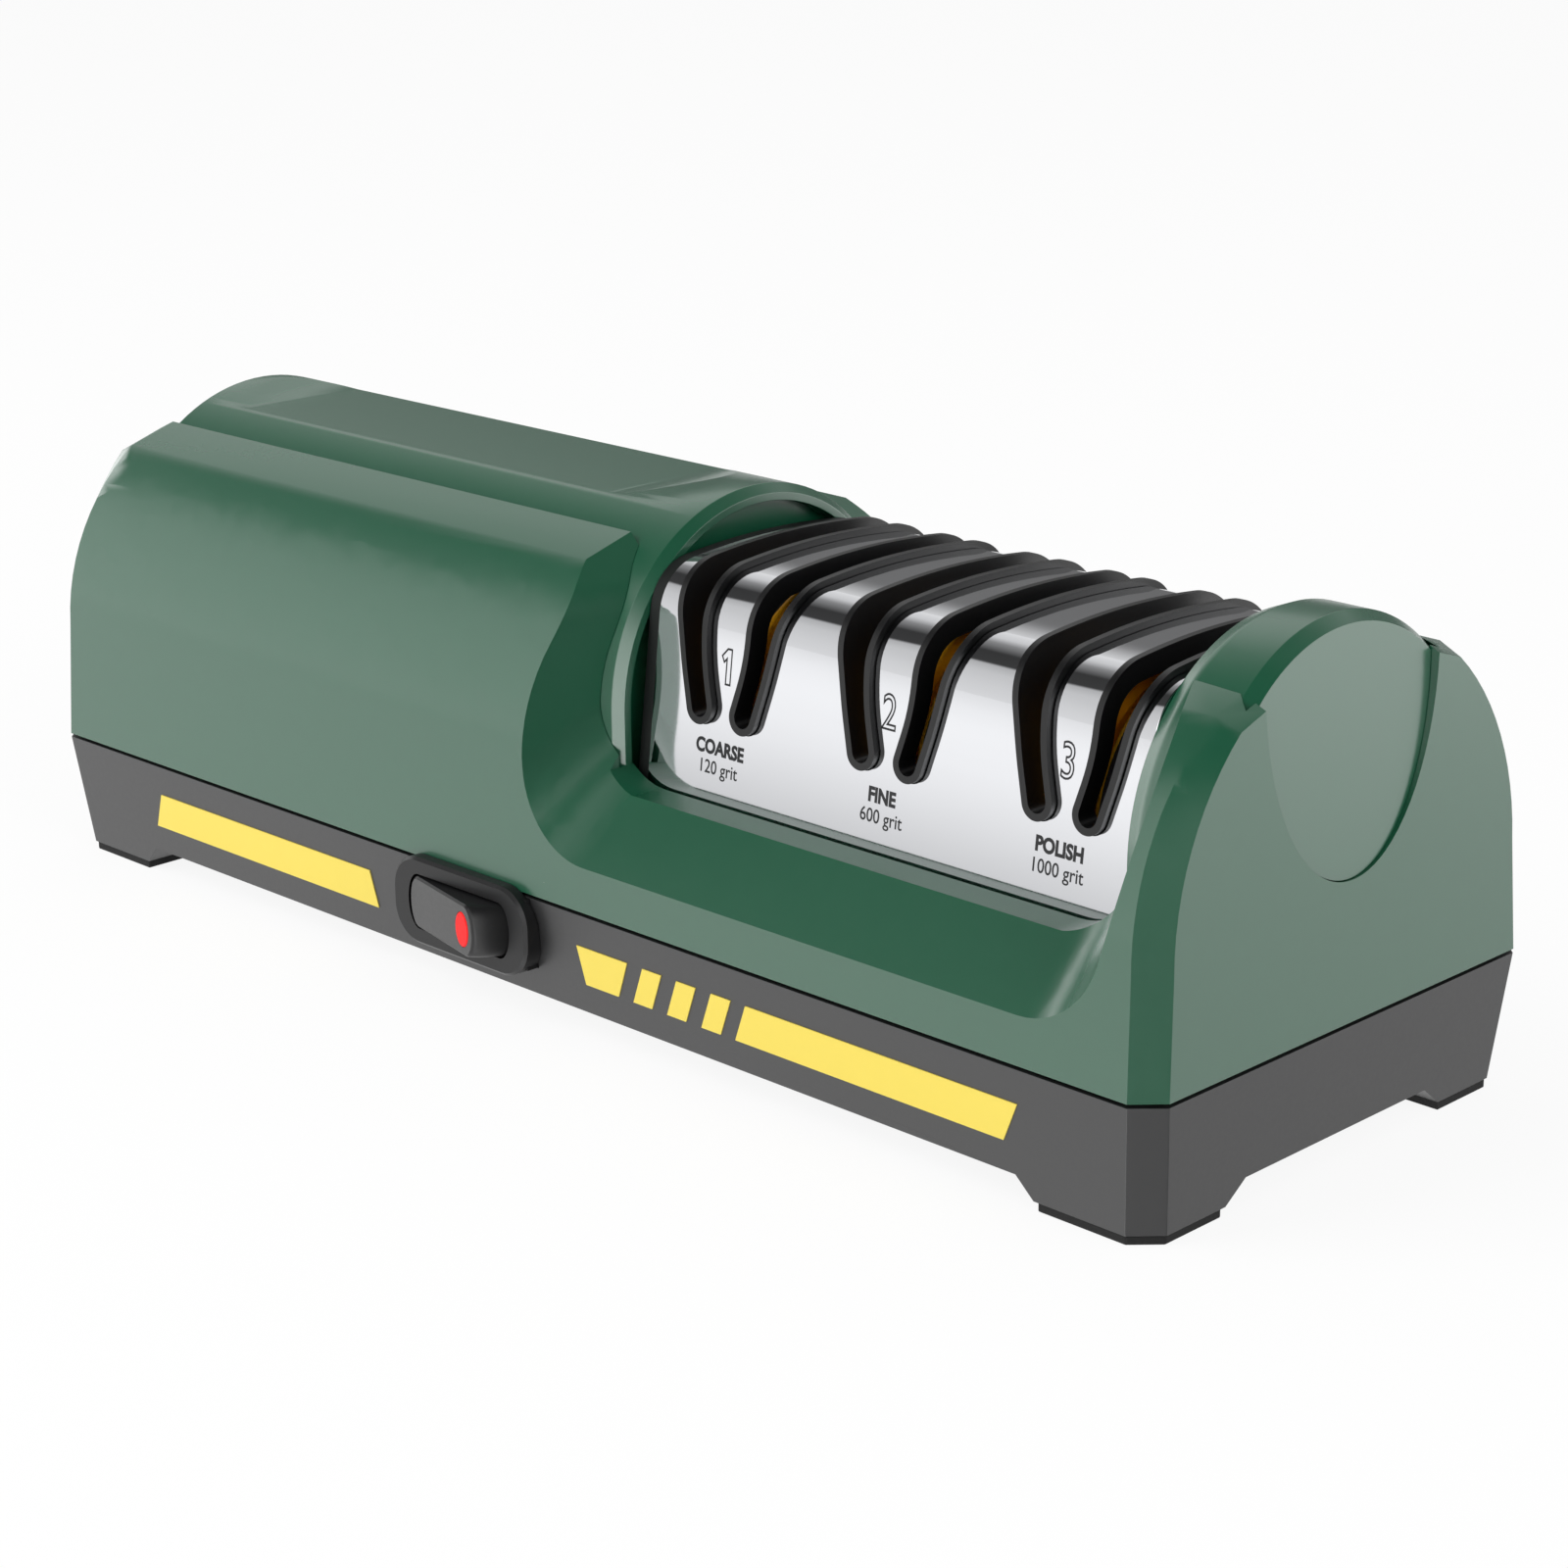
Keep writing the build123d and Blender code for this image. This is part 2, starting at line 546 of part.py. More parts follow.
with BuildPart() as housing_block:
    with BuildSketch(leaning_plane(-1, HALF_LENGTH, END_LEAN)):
        add(end_outline(0, END_STRETCH))
    with BuildSketch(leaning_plane(-1, CHAMFER_X, END_LEAN)):
        add(housing_section(0, SHELL_FOOT_Z, 0, END_STRETCH))
    with BuildSketch(Plane.YZ.offset(CROWN_START_X)):
        add(housing_section(0, SHELL_FOOT_Z))
    with BuildSketch(leaning_plane(1, CHAMFER_X, END_LEAN)):
        add(housing_section(0, SHELL_FOOT_Z, CROWN_DROP, END_STRETCH))
    with BuildSketch(leaning_plane(1, HALF_LENGTH, END_LEAN)):
        add(end_outline(CROWN_DROP, END_STRETCH))
    loft(ruled=True)

CAVITY_FOOT_Z = SHELL_FOOT_Z - 2 * SHELL_WALL
with BuildPart() as housing_cavity:
    with BuildSketch(Plane.YZ.offset(END_WALL - HALF_LENGTH)):
        add(housing_section(SHELL_WALL, CAVITY_FOOT_Z))
    with BuildSketch(Plane.YZ.offset(CROWN_START_X)):
        add(housing_section(SHELL_WALL, CAVITY_FOOT_Z))
    with BuildSketch(Plane.YZ.offset(HALF_LENGTH - END_WALL)):
        add(housing_section(SHELL_WALL, CAVITY_FOOT_Z, CROWN_DROP))
    loft(ruled=True)


def pocket_solid(grow):
    """The pocket's flared form on both sides, drawn grow larger than the pocket."""
    with BuildPart() as form:
        with BuildSketch(Plane.XZ.offset(POCKET_FACE_Y)):
            add(pocket_outline(True, grow))
        with BuildSketch(Plane.XZ.offset(POCKET_INNER_Y)):
            add(pocket_outline(False, grow))
        loft(ruled=True)
        mirror(about=Plane.XZ)
    return form.part


def lip_prism(grow, half_depth):
    """The space above the pocket's lip, between the two end walls."""
    left_x, right_x = WINDOW_LEFT_X - LIP_LEFT, WINDOW_RIGHT_X + LIP_RIGHT
    with BuildPart() as form:
        with BuildSketch(Plane.XZ):
            with BuildLine():
                Polyline(
                    (left_x - grow, LIP_Z - grow),
                    (right_x + grow, LIP_Z - grow),
                    (right_x + grow, 2 * LIP_Z + AXIS_Z), (left_x - grow, 2 * LIP_Z + AXIS_Z), close=True,
                )
            make_face()
            fillet(vertices().sort_by(Axis.Y)[0:2], radius=LIP_CORNER + grow)
        extrude(amount=half_depth, both=True)
    return form.part


def between(x_low, x_high):
    """A slab that spans the whole section between two X stations."""
    with BuildPart() as slab:
        with BuildSketch(Plane.YZ.offset(x_low)):
            Rectangle(4 * WIDTH, 4 * WIDTH)
        extrude(amount=x_high - x_low)
    return slab.part


with BuildPart() as arch_bay_left:
    with BuildSketch(Plane.YZ.offset(-HALF_LENGTH + END_WALL)):
        add(arch_section(ARCH_RADIUS + CLEARANCE, CAVITY_FOOT_Z))
    extrude(amount=WINDOW_LEFT_X + HALF_LENGTH - END_WALL)

with BuildPart() as arch_bay_right:
    with BuildSketch(Plane.YZ.offset(WINDOW_RIGHT_X)):
        add(arch_section(ARCH_RADIUS + CLEARANCE, CAVITY_FOOT_Z))
    extrude(amount=HALF_LENGTH - END_WALL - WINDOW_RIGHT_X)

with BuildPart() as screw_bosses:
    with BuildSketch(Plane.XY.offset(SHELL_FOOT_Z)):
        with GridLocations(2 * CASE_SCREW_X, 2 * CASE_SCREW_Y, 2, 2):
            Circle(BOSS_RADIUS)
    extrude(amount=CREASE_Z - SHELL_FOOT_Z)

with BuildPart() as housing_shell:
    add(housing_block.part)
    add(housing_cavity.part, mode=Mode.SUBTRACT)
    add(pocket_solid(POCKET_WALL) & housing_block.part)
    add(lip_prism(POCKET_WALL, LIP_HALF_WIDTH + POCKET_WALL) & housing_block.part)
    add(screw_bosses.part & housing_block.part)
    add(pocket_solid(0), mode=Mode.SUBTRACT)
    add(lip_prism(0, LIP_HALF_WIDTH) & between(WINDOW_LEFT_X, WINDOW_RIGHT_X), mode=Mode.SUBTRACT)
    with Locations(((WINDOW_LEFT_X + WINDOW_RIGHT_X) / 2, 0, SHELL_FOOT_Z)):
        Box(WINDOW_RIGHT_X - WINDOW_LEFT_X, 2 * COVER_LIP_HALF, 2 * ARCH_TOP_Z, mode=Mode.SUBTRACT)
    for side in (-1, 1):
        with BuildSketch(Plane.XZ.offset(side * LEDGE_INNER_Y)):
            Polygon(
                (WINDOW_LEFT_X, LEDGE_Z), (WINDOW_RIGHT_X, LEDGE_Z),
                (WINDOW_RIGHT_X, COVER_FOOT_Z), (WINDOW_LEFT_X, COVER_FOOT_Z), align=None,
            )
        extrude(amount=side * (LEDGE_OUTER_Y - LEDGE_INNER_Y))
        with BuildSketch(Plane.XZ.offset(side * COVER_LIP_HALF)):
            Polygon(
                (WINDOW_LEFT_X, LEDGE_Z), (WINDOW_RIGHT_X, LEDGE_Z),
                (WINDOW_RIGHT_X, LIP_Z - 1), (WINDOW_LEFT_X, LIP_Z - 1), align=None,
            )
        extrude(amount=side * (LEDGE_OUTER_Y - COVER_LIP_HALF))
    add(arch_bay_left.part, mode=Mode.SUBTRACT)
    add(arch_bay_right.part, mode=Mode.SUBTRACT)
    with BuildSketch(Plane.YZ.offset(-HALF_LENGTH)):
        add(end_opening(0))
    extrude(amount=LENGTH, mode=Mode.SUBTRACT)
    with BuildSketch(Plane.XY.offset(SHELL_FOOT_Z)):
        with GridLocations(2 * CASE_SCREW_X, 2 * CASE_SCREW_Y, 2, 2):
            Circle(SCREW_RADIUS)
    extrude(amount=SCREW_BITE + SCREW_TIP_GAP, mode=Mode.SUBTRACT)
save(housing_shell, "housing_shell")


# --------------------------------------------------------------- arch covers
OPENING_FOOT_Z = END_OPENING_Z - END_OPENING_DROP
PLATE_SPLIT_X = (HALF_LENGTH - END_RECESS
                 + (OPENING_FOOT_Z - SPLIT_Z) * (tan(radians(PLATE_LEAN)) - tan(radians(END_LEAN))))


def arch_cover(end_sign, wall_x, left_run, right_run):
    """A solid arch-shaped cover with a long chamfer round each end."""
    low, high = sorted((wall_x, end_sign * HALF_LENGTH))
    with BuildPart() as cover:
        with BuildSketch(Plane.YZ.offset(low)):
            add(arch_section(ARCH_RADIUS, ARCH_FOOT_Z))
        extrude(amount=high - low)
        split(bisect_by=leaning_plane(end_sign, PLATE_SPLIT_X, PLATE_LEAN),
              keep=Keep.BOTTOM if end_sign > 0 else Keep.TOP)
        for index, run in ((0, left_run), (-1, right_run)):
            face = faces().sort_by(Axis.X)[index]
            rim = face.edges().sort_by(Axis.Z)[1:]
            chamfer(rim, length=ARCH_CHAMFER, length2=run, reference=face)
    return cover.part


def finish_arch_cover(cover, end_sign, wall_x, recess):
    """Hollow a cover, trim its outer end to the end opening, and bore its wall."""
    plug_x = end_sign * (HALF_LENGTH - END_WALL - CLEARANCE)
    plate_x = PLATE_SPLIT_X - (ARCH_CEILING_Z - SPLIT_Z) * tan(radians(PLATE_LEAN))
    wall_back_x = wall_x + end_sign * (recess + ARCH_WALL)
    hollow_low, hollow_high = sorted((end_sign * (plate_x - ARCH_WALL), wall_back_x))
    with BuildPart() as hollow:
        with BuildSketch(Plane.YZ.offset(hollow_low)):
            add(arch_section(ARCH_RADIUS - ARCH_WALL, ARCH_FOOT_Z - 1))
        extrude(amount=hollow_high - hollow_low)
        with Locations((0, 0, ARCH_CEILING_Z)):
            Box(2 * LENGTH, WIDTH, ARCH_RADIUS, align=(Align.CENTER, Align.CENTER, Align.MIN),
                mode=Mode.SUBTRACT)
    outer_low, outer_high = sorted((plug_x, end_sign * LENGTH))
    with BuildPart() as plug_space:
        add(between(outer_low, outer_high))
        with BuildSketch(Plane.YZ.offset(outer_low)):
            add(end_opening(-CLEARANCE))
        extrude(amount=outer_high - outer_low, mode=Mode.SUBTRACT)
    bore_low, bore_high = sorted((wall_x - end_sign, wall_back_x + end_sign))
    with BuildPart() as finished:
        add(cover)
        add(hollow.part, mode=Mode.SUBTRACT)
        add(plug_space.part, mode=Mode.SUBTRACT)
        with BuildSketch(Plane.YZ.offset(bore_low)):
            with Locations((0, AXIS_Z)):
                Circle(SPINDLE_RADIUS + BORE_MARGIN)
        extrude(amount=bore_high - bore_low, mode=Mode.SUBTRACT)
        if recess > 0:
            with BuildSketch(Plane.YZ.offset(wall_x)):
                add(arch_section(ARCH_RADIUS - WINDOW_RIM, ARCH_FOOT_Z - 1))
            extrude(amount=end_sign * recess, mode=Mode.SUBTRACT)
    return finished.part


with BuildPart() as motor_cover:
    motor_body = arch_cover(-1, WINDOW_LEFT_X, END_RUN, WINDOW_RUN)
    add(finish_arch_cover(motor_body, -1, WINDOW_LEFT_X, WINDOW_RECESS))
    with BuildSketch(Plane.XZ):
        with BuildLine():
            Polyline(
                (PANEL_LEFT_X - 2 * PANEL_LEFT_RUN, PANEL_Z + 2 * PANEL_DEPTH),
                (PANEL_LEFT_X, PANEL_Z), (PANEL_RIGHT_X, PANEL_Z),
                (PANEL_RIGHT_X + 2 * PANEL_RIGHT_RUN, PANEL_Z + 2 * PANEL_DEPTH), close=True,
            )
        make_face()
        fillet(vertices().filter_by_position(Axis.X, PANEL_RIGHT_X, PANEL_RIGHT_X), radius=PANEL_BLEND)
    extrude(amount=WIDTH / 2, both=True, mode=Mode.SUBTRACT)
save(motor_cover, "motor_cover")

with BuildPart() as end_cover:
    add(finish_arch_cover(arch_cover(1, WINDOW_RIGHT_X, FAR_WINDOW_RUN, END_RUN), 1, WINDOW_RIGHT_X, 0))
save(end_cover, "end_cover")


# ------------------------------------------------------------ stainless cover
COVER_LEFT_X = WINDOW_LEFT_X + CLEARANCE
COVER_RIGHT_X = WINDOW_RIGHT_X - CLEARANCE

with BuildPart() as stainless_cover:
    add(cover_solid(COVER_LEFT_X, COVER_RIGHT_X, 0, COVER_FOOT_Z))
    add(cover_solid(COVER_LEFT_X - 1, COVER_RIGHT_X + 1, -COVER_SHEET, COVER_FOOT_Z - 1),
        mode=Mode.SUBTRACT)
    for centre in STAGE_CENTRES:
        for side in (-1, 1):
            add(slot_prism(centre, side, -CLEARANCE), mode=Mode.SUBTRACT)
save(stainless_cover, "stainless_cover")


# --------------------------------------------------------------- blade guides
GUIDE_FOOT_Z = 44.0
GUIDE_INSIDE = COVER_SHEET + CLEARANCE + GUIDE_PLATE


def blade_guide(centre):
    """Backing plate, two slot rims and two full-depth blade faces of one stage."""
    low, high = centre - GUIDE_HALF_WIDTH, centre + GUIDE_HALF_WIDTH
    inside = cover_solid(low - 1, high + 1, -GUIDE_INSIDE, GUIDE_FOOT_Z - 1)
    with BuildPart() as guide:
        add(cover_solid(low, high, -COVER_SHEET - CLEARANCE, GUIDE_FOOT_Z))
        add(inside, mode=Mode.SUBTRACT)
        for side in (-1, 1):
            add((cover_solid(low, high, RIM_HEIGHT, GUIDE_FOOT_Z) - inside)
                & slot_prism(centre, side, 0))
        for side in (-1, 1):
            outer = slot_prism(centre, side, 0)
            blade_face = (outer - Pos(-side * RIM_WIDTH, 0, 0) * outer)
            add(blade_face & cover_solid(low, high, 0, SLOT_FOOT_Z))
        for side in (-1, 1):
            add(slot_prism(centre, side, RIM_WIDTH), mode=Mode.SUBTRACT)
        with BuildSketch(Plane.YZ.offset(low)):
            with Locations((0, AXIS_Z)):
                Circle(RING_RADIUS + 3)
        extrude(amount=high - low, mode=Mode.SUBTRACT)
    return guide


for number, centre in enumerate(STAGE_CENTRES, start=1):
    save(blade_guide(centre), f"stage{number}_guide")


# ----------------------------------------------------------------- base tray
def tray_outline(z, inset=0.0):
    """The tray's chamfered outline at a height, set in by a wall."""
    fall = (SPLIT_Z - z) / (SPLIT_Z - PAD_HEIGHT)
    half_x = HALF_LENGTH - BASE_TAPER_X * fall - inset
    half_y = HALF_WIDTH - BASE_TAPER_Y * fall - inset
    with BuildSketch() as outline:
        Rectangle(2 * half_x, 2 * half_y)
        chamfer(vertices(), length=CORNER_CHAMFER - 0.6 * inset)
    return outline.sketch


LIP_HALF_X = HALF_LENGTH - END_WALL - 2 * CLEARANCE
LIP_HALF_Y = HALF_WIDTH - SHELL_WALL - 4 * CLEARANCE
ROCKER_AXIS_Y = BEZEL_FACE_Y + SWING_DEPTH
SWING_RADIUS = sqrt((ROCKER_LENGTH / 2)**2 + SWING_DEPTH**2)
PLUG_LENGTH = 2 * (SWING_RADIUS + ROCKER_CLEARANCE + PLUG_WALL)
PLUG_HEIGHT = ROCKER_HEIGHT + 2 * (ROCKER_CLEARANCE + PLUG_WALL)
PLUG_BACK_Y = ROCKER_AXIS_Y + SWITCH_BODY_GAP

with BuildPart() as base_tray:
    with BuildSketch(Plane.XY.offset(PAD_HEIGHT)):
        add(tray_outline(PAD_HEIGHT))
    with BuildSketch(Plane.XY.offset(TRAY_TOP_Z)):
        add(tray_outline(TRAY_TOP_Z))
    loft()
    with BuildSketch(Plane.XY.offset(FLOOR_Z)):
        add(tray_outline(FLOOR_Z, BASE_WALL))
    with BuildSketch(Plane.XY.offset(TRAY_TOP_Z)):
        add(tray_outline(TRAY_TOP_Z, BASE_WALL))
    loft(mode=Mode.SUBTRACT)
    # locating lip inside the housing
    with BuildSketch(Plane.XY.offset(TRAY_TOP_Z - SHELF_HEIGHT)):
        add(tray_outline(SPLIT_Z, BASE_WALL - 0.6))
        Rectangle(2 * (LIP_HALF_X - LIP_WALL), 2 * (LIP_HALF_Y - LIP_WALL), mode=Mode.SUBTRACT)
    extrude(amount=SHELF_HEIGHT)
    with BuildSketch(Plane.XY.offset(TRAY_TOP_Z)):
        Rectangle(2 * LIP_HALF_X, 2 * LIP_HALF_Y)
        Rectangle(2 * (LIP_HALF_X - LIP_WALL), 2 * (LIP_HALF_Y - LIP_WALL), mode=Mode.SUBTRACT)
    extrude(amount=LIP_HEIGHT)
    # screw posts and board posts
    with BuildSketch(Plane.XY.offset(FLOOR_Z)):
        with GridLocations(2 * CASE_SCREW_X, 2 * CASE_SCREW_Y, 2, 2):
            Circle(BOSS_RADIUS + POST_MARGIN)
    extrude(amount=TRAY_TOP_Z - FLOOR_Z)
    with BuildSketch(Plane.XY.offset(FLOOR_Z)):
        with Locations((BOARD_X, BOARD_Y)):
            with GridLocations(BOARD_HOLES_X, BOARD_HOLES_Y, 2, 2):
                Circle(BOARD_POST_RADIUS)
    extrude(amount=BOARD_Z - FLOOR_Z)
    # belly between the corner feet
    with BuildSketch(Plane.XZ):
        with BuildLine():
            Polyline((-FOOT_X, 0), (-FOOT_X, PAD_HEIGHT), (-FOOT_X + FOOT_SLOPE_X, BELLY_Z),
                     (FOOT_X - FOOT_SLOPE_X, BELLY_Z), (FOOT_X, PAD_HEIGHT), (FOOT_X, 0), close=True)
        make_face()
    extrude(amount=WIDTH, both=True, mode=Mode.SUBTRACT)
    with BuildSketch(Plane.YZ):
        with BuildLine():
            Polyline((-FOOT_Y, 0), (-FOOT_Y, PAD_HEIGHT), (-FOOT_Y + FOOT_SLOPE_Y, BELLY_Z),
                     (FOOT_Y - FOOT_SLOPE_Y, BELLY_Z), (FOOT_Y, PAD_HEIGHT), (FOOT_Y, 0), close=True)
        make_face()
    extrude(amount=LENGTH, both=True, mode=Mode.SUBTRACT)
    # case screw holes
    with BuildSketch(Plane.XY.offset(PAD_HEIGHT)):
        with GridLocations(2 * CASE_SCREW_X, 2 * CASE_SCREW_Y, 2, 2):
            Circle(SCREW_HEAD_RADIUS + HEAD_CLEARANCE)
    extrude(amount=SCREW_SEAT_Z - PAD_HEIGHT, mode=Mode.SUBTRACT)
    with BuildSketch(Plane.XY.offset(PAD_HEIGHT)):
        with GridLocations(2 * CASE_SCREW_X, 2 * CASE_SCREW_Y, 2, 2):
            Circle(SCREW_RADIUS + CLEARANCE)
    extrude(amount=TRAY_TOP_Z, mode=Mode.SUBTRACT)
    # pilot holes for the bracket screws
    with BuildSketch(Plane.XY.offset(BRACKET_SCREW_HOLE_Z)):
        for bracket_x in (LEFT_BEARING_X, RIGHT_BEARING_X):
            with Locations((bracket_x, -BRACKET_SCREW_Y), (bracket_x, BRACKET_SCREW_Y)):
                Circle(SCREW_RADIUS)
    extrude(amount=FLOOR_Z, mode=Mode.SUBTRACT)
    # switch and inlet openings
    with Locations((SWITCH_X, -HALF_WIDTH, SWITCH_Z)):
        Box(PLUG_LENGTH + 2 * CLEARANCE, OPENING_DEPTH, PLUG_HEIGHT + 2 * CLEARANCE, mode=Mode.SUBTRACT)
    with Locations((INLET_X, HALF_WIDTH, INLET_Z)):
        Box(INLET_LENGTH + 2 * CLEARANCE, OPENING_DEPTH, INLET_HEIGHT + 2 * CLEARANCE,
            mode=Mode.SUBTRACT)
    # cooling slots under the motor
    with BuildSketch(Plane.XY.offset(BELLY_Z - 1)):
        with Locations((MOTOR_FRONT_X - MOTOR_LENGTH / 2, 0)):
            with GridLocations(VENT_PITCH, VENT_ROW_PITCH, VENT_COUNT, 2):
                SlotOverall(VENT_LENGTH, VENT_WIDTH, rotation=90)
    extrude(amount=FLOOR_Z - BELLY_Z + 2, mode=Mode.SUBTRACT)
save(base_tray, "base_tray")


# ---------------------------------------------------------------- rubber pads
def corner_pad(x_sign, y_sign):
    """Rubber pad under one corner foot, with a hole for its case screw."""
    with BuildPart() as pad:
        with BuildSketch(Plane.XY):
            add(tray_outline(PAD_HEIGHT, PAD_INSET))
            with Locations((x_sign * (FOOT_X + PAD_MARGIN + WIDTH),
                            y_sign * (FOOT_Y + PAD_MARGIN + WIDTH))):
                Rectangle(2 * WIDTH, 2 * WIDTH, mode=Mode.INTERSECT)
            with Locations((x_sign * CASE_SCREW_X, y_sign * CASE_SCREW_Y)):
                Circle(SCREW_HEAD_RADIUS + HEAD_CLEARANCE, mode=Mode.SUBTRACT)
        extrude(amount=PAD_HEIGHT)
    return pad


for end_name, x_sign in (("left", -1), ("right", 1)):
    for side_name, y_sign in (("front", -1), ("rear", 1)):
        save(corner_pad(x_sign, y_sign), f"pad_{side_name}_{end_name}")


# --------------------------------------------------------------- case screws
with BuildPart() as case_screws:
    with BuildSketch(Plane.XY.offset(SCREW_SEAT_Z - SCREW_HEAD_HEIGHT)):
        with GridLocations(2 * CASE_SCREW_X, 2 * CASE_SCREW_Y, 2, 2):
            Circle(SCREW_HEAD_RADIUS)
    extrude(amount=SCREW_HEAD_HEIGHT)
    with BuildSketch(Plane.XY.offset(SCREW_SEAT_Z)):
        with GridLocations(2 * CASE_SCREW_X, 2 * CASE_SCREW_Y, 2, 2):
            Circle(SCREW_RADIUS)
    extrude(amount=SHELL_FOOT_Z + SCREW_BITE - SCREW_SEAT_Z)
    with BuildSketch(Plane.XY.offset(SCREW_SEAT_Z - SCREW_HEAD_HEIGHT)):
        with GridLocations(2 * CASE_SCREW_X, 2 * CASE_SCREW_Y, 2, 2):
            Rectangle(DRIVE_SPAN, DRIVE_SLOT)
            Rectangle(DRIVE_SLOT, DRIVE_SPAN)
    extrude(amount=DRIVE_DEPTH, mode=Mode.SUBTRACT)
save(case_screws, "case_screws")


# --------------------------------------------------------------------- switch
def swing_pill(grow):
    """Pill of revolution about the rocker's axis, the shape that its ends sweep."""
    radius = SWING_RADIUS + grow
    half = ROCKER_HEIGHT / 2 + grow
    start_x = radius - ROCKER_ROUND
    with BuildPart() as pill:
        with BuildSketch(Plane.XZ):
            with BuildLine():
                Polyline((start_x, half), (0, half), (0, -half), (start_x, -half))
                EllipticalCenterArc((start_x, 0), ROCKER_ROUND, half, start_angle=-90, arc_size=180)
            make_face()
        revolve(axis=Axis.Z)
    return Pos(SWITCH_X, ROCKER_AXIS_Y, SWITCH_Z) * pill.part


def front_y(z):
    """Where the tray's front face lies at a height (a negative Y)."""
    return -(HALF_WIDTH - FRONT_SLOPE * (SPLIT_Z - z))


BEZEL_LOW_Z = SWITCH_Z - BEZEL_HEIGHT
BEZEL_HIGH_Z = SWITCH_Z + BEZEL_HEIGHT
PLUG_FACE_Y = BEZEL_FACE_Y + BEZEL_STEP

with BuildPart() as switch_bezel:
    with BuildSketch(Plane.XZ.offset(-BEZEL_FACE_Y)):
        with Locations((SWITCH_X, SWITCH_Z)):
            RectangleRounded(BEZEL_LENGTH, BEZEL_HEIGHT, BEZEL_CORNER)
    extrude(amount=-BEZEL_DEPTH)
    chamfer(edges().group_by(Axis.Y)[0], length=BEZEL_CHAMFER)
    with BuildSketch(Plane.YZ.offset(SWITCH_X - BEZEL_LENGTH)):
        with BuildLine():
            Polyline(
                (-HALF_WIDTH - CLEARANCE, BEZEL_HIGH_Z), (-HALF_WIDTH - CLEARANCE, TRAY_TOP_Z),
                (front_y(BEZEL_LOW_Z) - BEZEL_GAP, BEZEL_LOW_Z), (0, BEZEL_LOW_Z), (0, BEZEL_HIGH_Z),
                close=True,
            )
        make_face()
    extrude(amount=2 * BEZEL_LENGTH, mode=Mode.SUBTRACT)
    with Locations((SWITCH_X, (PLUG_BACK_Y + PLUG_FACE_Y) / 2, SWITCH_Z)):
        Box(PLUG_LENGTH, PLUG_BACK_Y - PLUG_FACE_Y, PLUG_HEIGHT)
    add(swing_pill(ROCKER_CLEARANCE), mode=Mode.SUBTRACT)
    with Locations((SWITCH_X, ROCKER_AXIS_Y, SWITCH_Z)):
        Cylinder(PIVOT_RADIUS + RUNNING_FIT, PLUG_HEIGHT + 1, mode=Mode.SUBTRACT)
        Box(PLUG_WINDOW, PLUG_LENGTH, ROCKER_HEIGHT, align=(Align.CENTER, Align.MIN, Align.CENTER),
            mode=Mode.SUBTRACT)
save(switch_bezel, "switch_bezel")

ROCKER_FACE_Y = BEZEL_FACE_Y - ROCKER_PROUD
ROCKER_TILT = Location((SWITCH_X, ROCKER_AXIS_Y, SWITCH_Z), (0, 0, -ROCKER_THROW))


def tilt_rocker(part):
    """Turn a piece from the rocker's middle position to its rest position."""
    return ROCKER_TILT * Pos(-SWITCH_X, -ROCKER_AXIS_Y, -SWITCH_Z) * part


with BuildPart() as rocker_middle:
    add(swing_pill(0))
    with Locations((SWITCH_X, ROCKER_FACE_Y, SWITCH_Z)):
        Box(*[2 * PLUG_LENGTH] * 3, align=(Align.CENTER, Align.MAX, Align.CENTER), mode=Mode.SUBTRACT)
    with Locations((SWITCH_X, ROCKER_AXIS_Y + 2 * PIVOT_RADIUS, SWITCH_Z)):
        Box(*[2 * PLUG_LENGTH] * 3, align=(Align.CENTER, Align.MIN, Align.CENTER), mode=Mode.SUBTRACT)
    for side in (-1, 1):
        with Locations((SWITCH_X + side * (PLUG_LENGTH + ROCKER_HUB),
                        ROCKER_AXIS_Y - PIVOT_RADIUS, SWITCH_Z)):
            Box(*[2 * PLUG_LENGTH] * 3, align=(Align.CENTER, Align.MIN, Align.CENTER),
                mode=Mode.SUBTRACT)
    chamfer(edges().group_by(Axis.Y)[0], length=ROCKER_CHAMFER)
    with BuildSketch(Plane.XZ.offset(-ROCKER_FACE_Y)):
        with Locations((SWITCH_X + LED_X, SWITCH_Z)):
            Ellipse(LED_RADIUS_X, LED_RADIUS_Z)
    extrude(amount=-LED_DEPTH, mode=Mode.SUBTRACT)
    with Locations((SWITCH_X, ROCKER_AXIS_Y, SWITCH_Z)):
        Cylinder(PIVOT_RADIUS, ROCKER_HEIGHT + 2 * ROCKER_CLEARANCE + PLUG_WALL)

with BuildPart() as rocker:
    add(tilt_rocker(rocker_middle.part))
save(rocker, "rocker")

with BuildPart() as led_middle:
    with BuildSketch(Plane.XZ.offset(-ROCKER_FACE_Y - LED_DEPTH)):
        with Locations((SWITCH_X + LED_X, SWITCH_Z)):
            Ellipse(LED_RADIUS_X - RUNNING_FIT, LED_RADIUS_Z - RUNNING_FIT)
    extrude(amount=LED_DEPTH + LED_PROUD)

with BuildPart() as led_lens:
    add(tilt_rocker(led_middle.part))
save(led_lens, "led_lens")

SWITCH_BODY_Y = PLUG_BACK_Y + CLEARANCE
with BuildPart() as switch_body:
    with Locations((SWITCH_X, SWITCH_BODY_Y, SWITCH_Z - SWITCH_BODY_DROP)):
        Box(*SWITCH_BODY_SIZE, align=(Align.CENTER, Align.MIN, Align.CENTER))
save(switch_body, "switch_body")

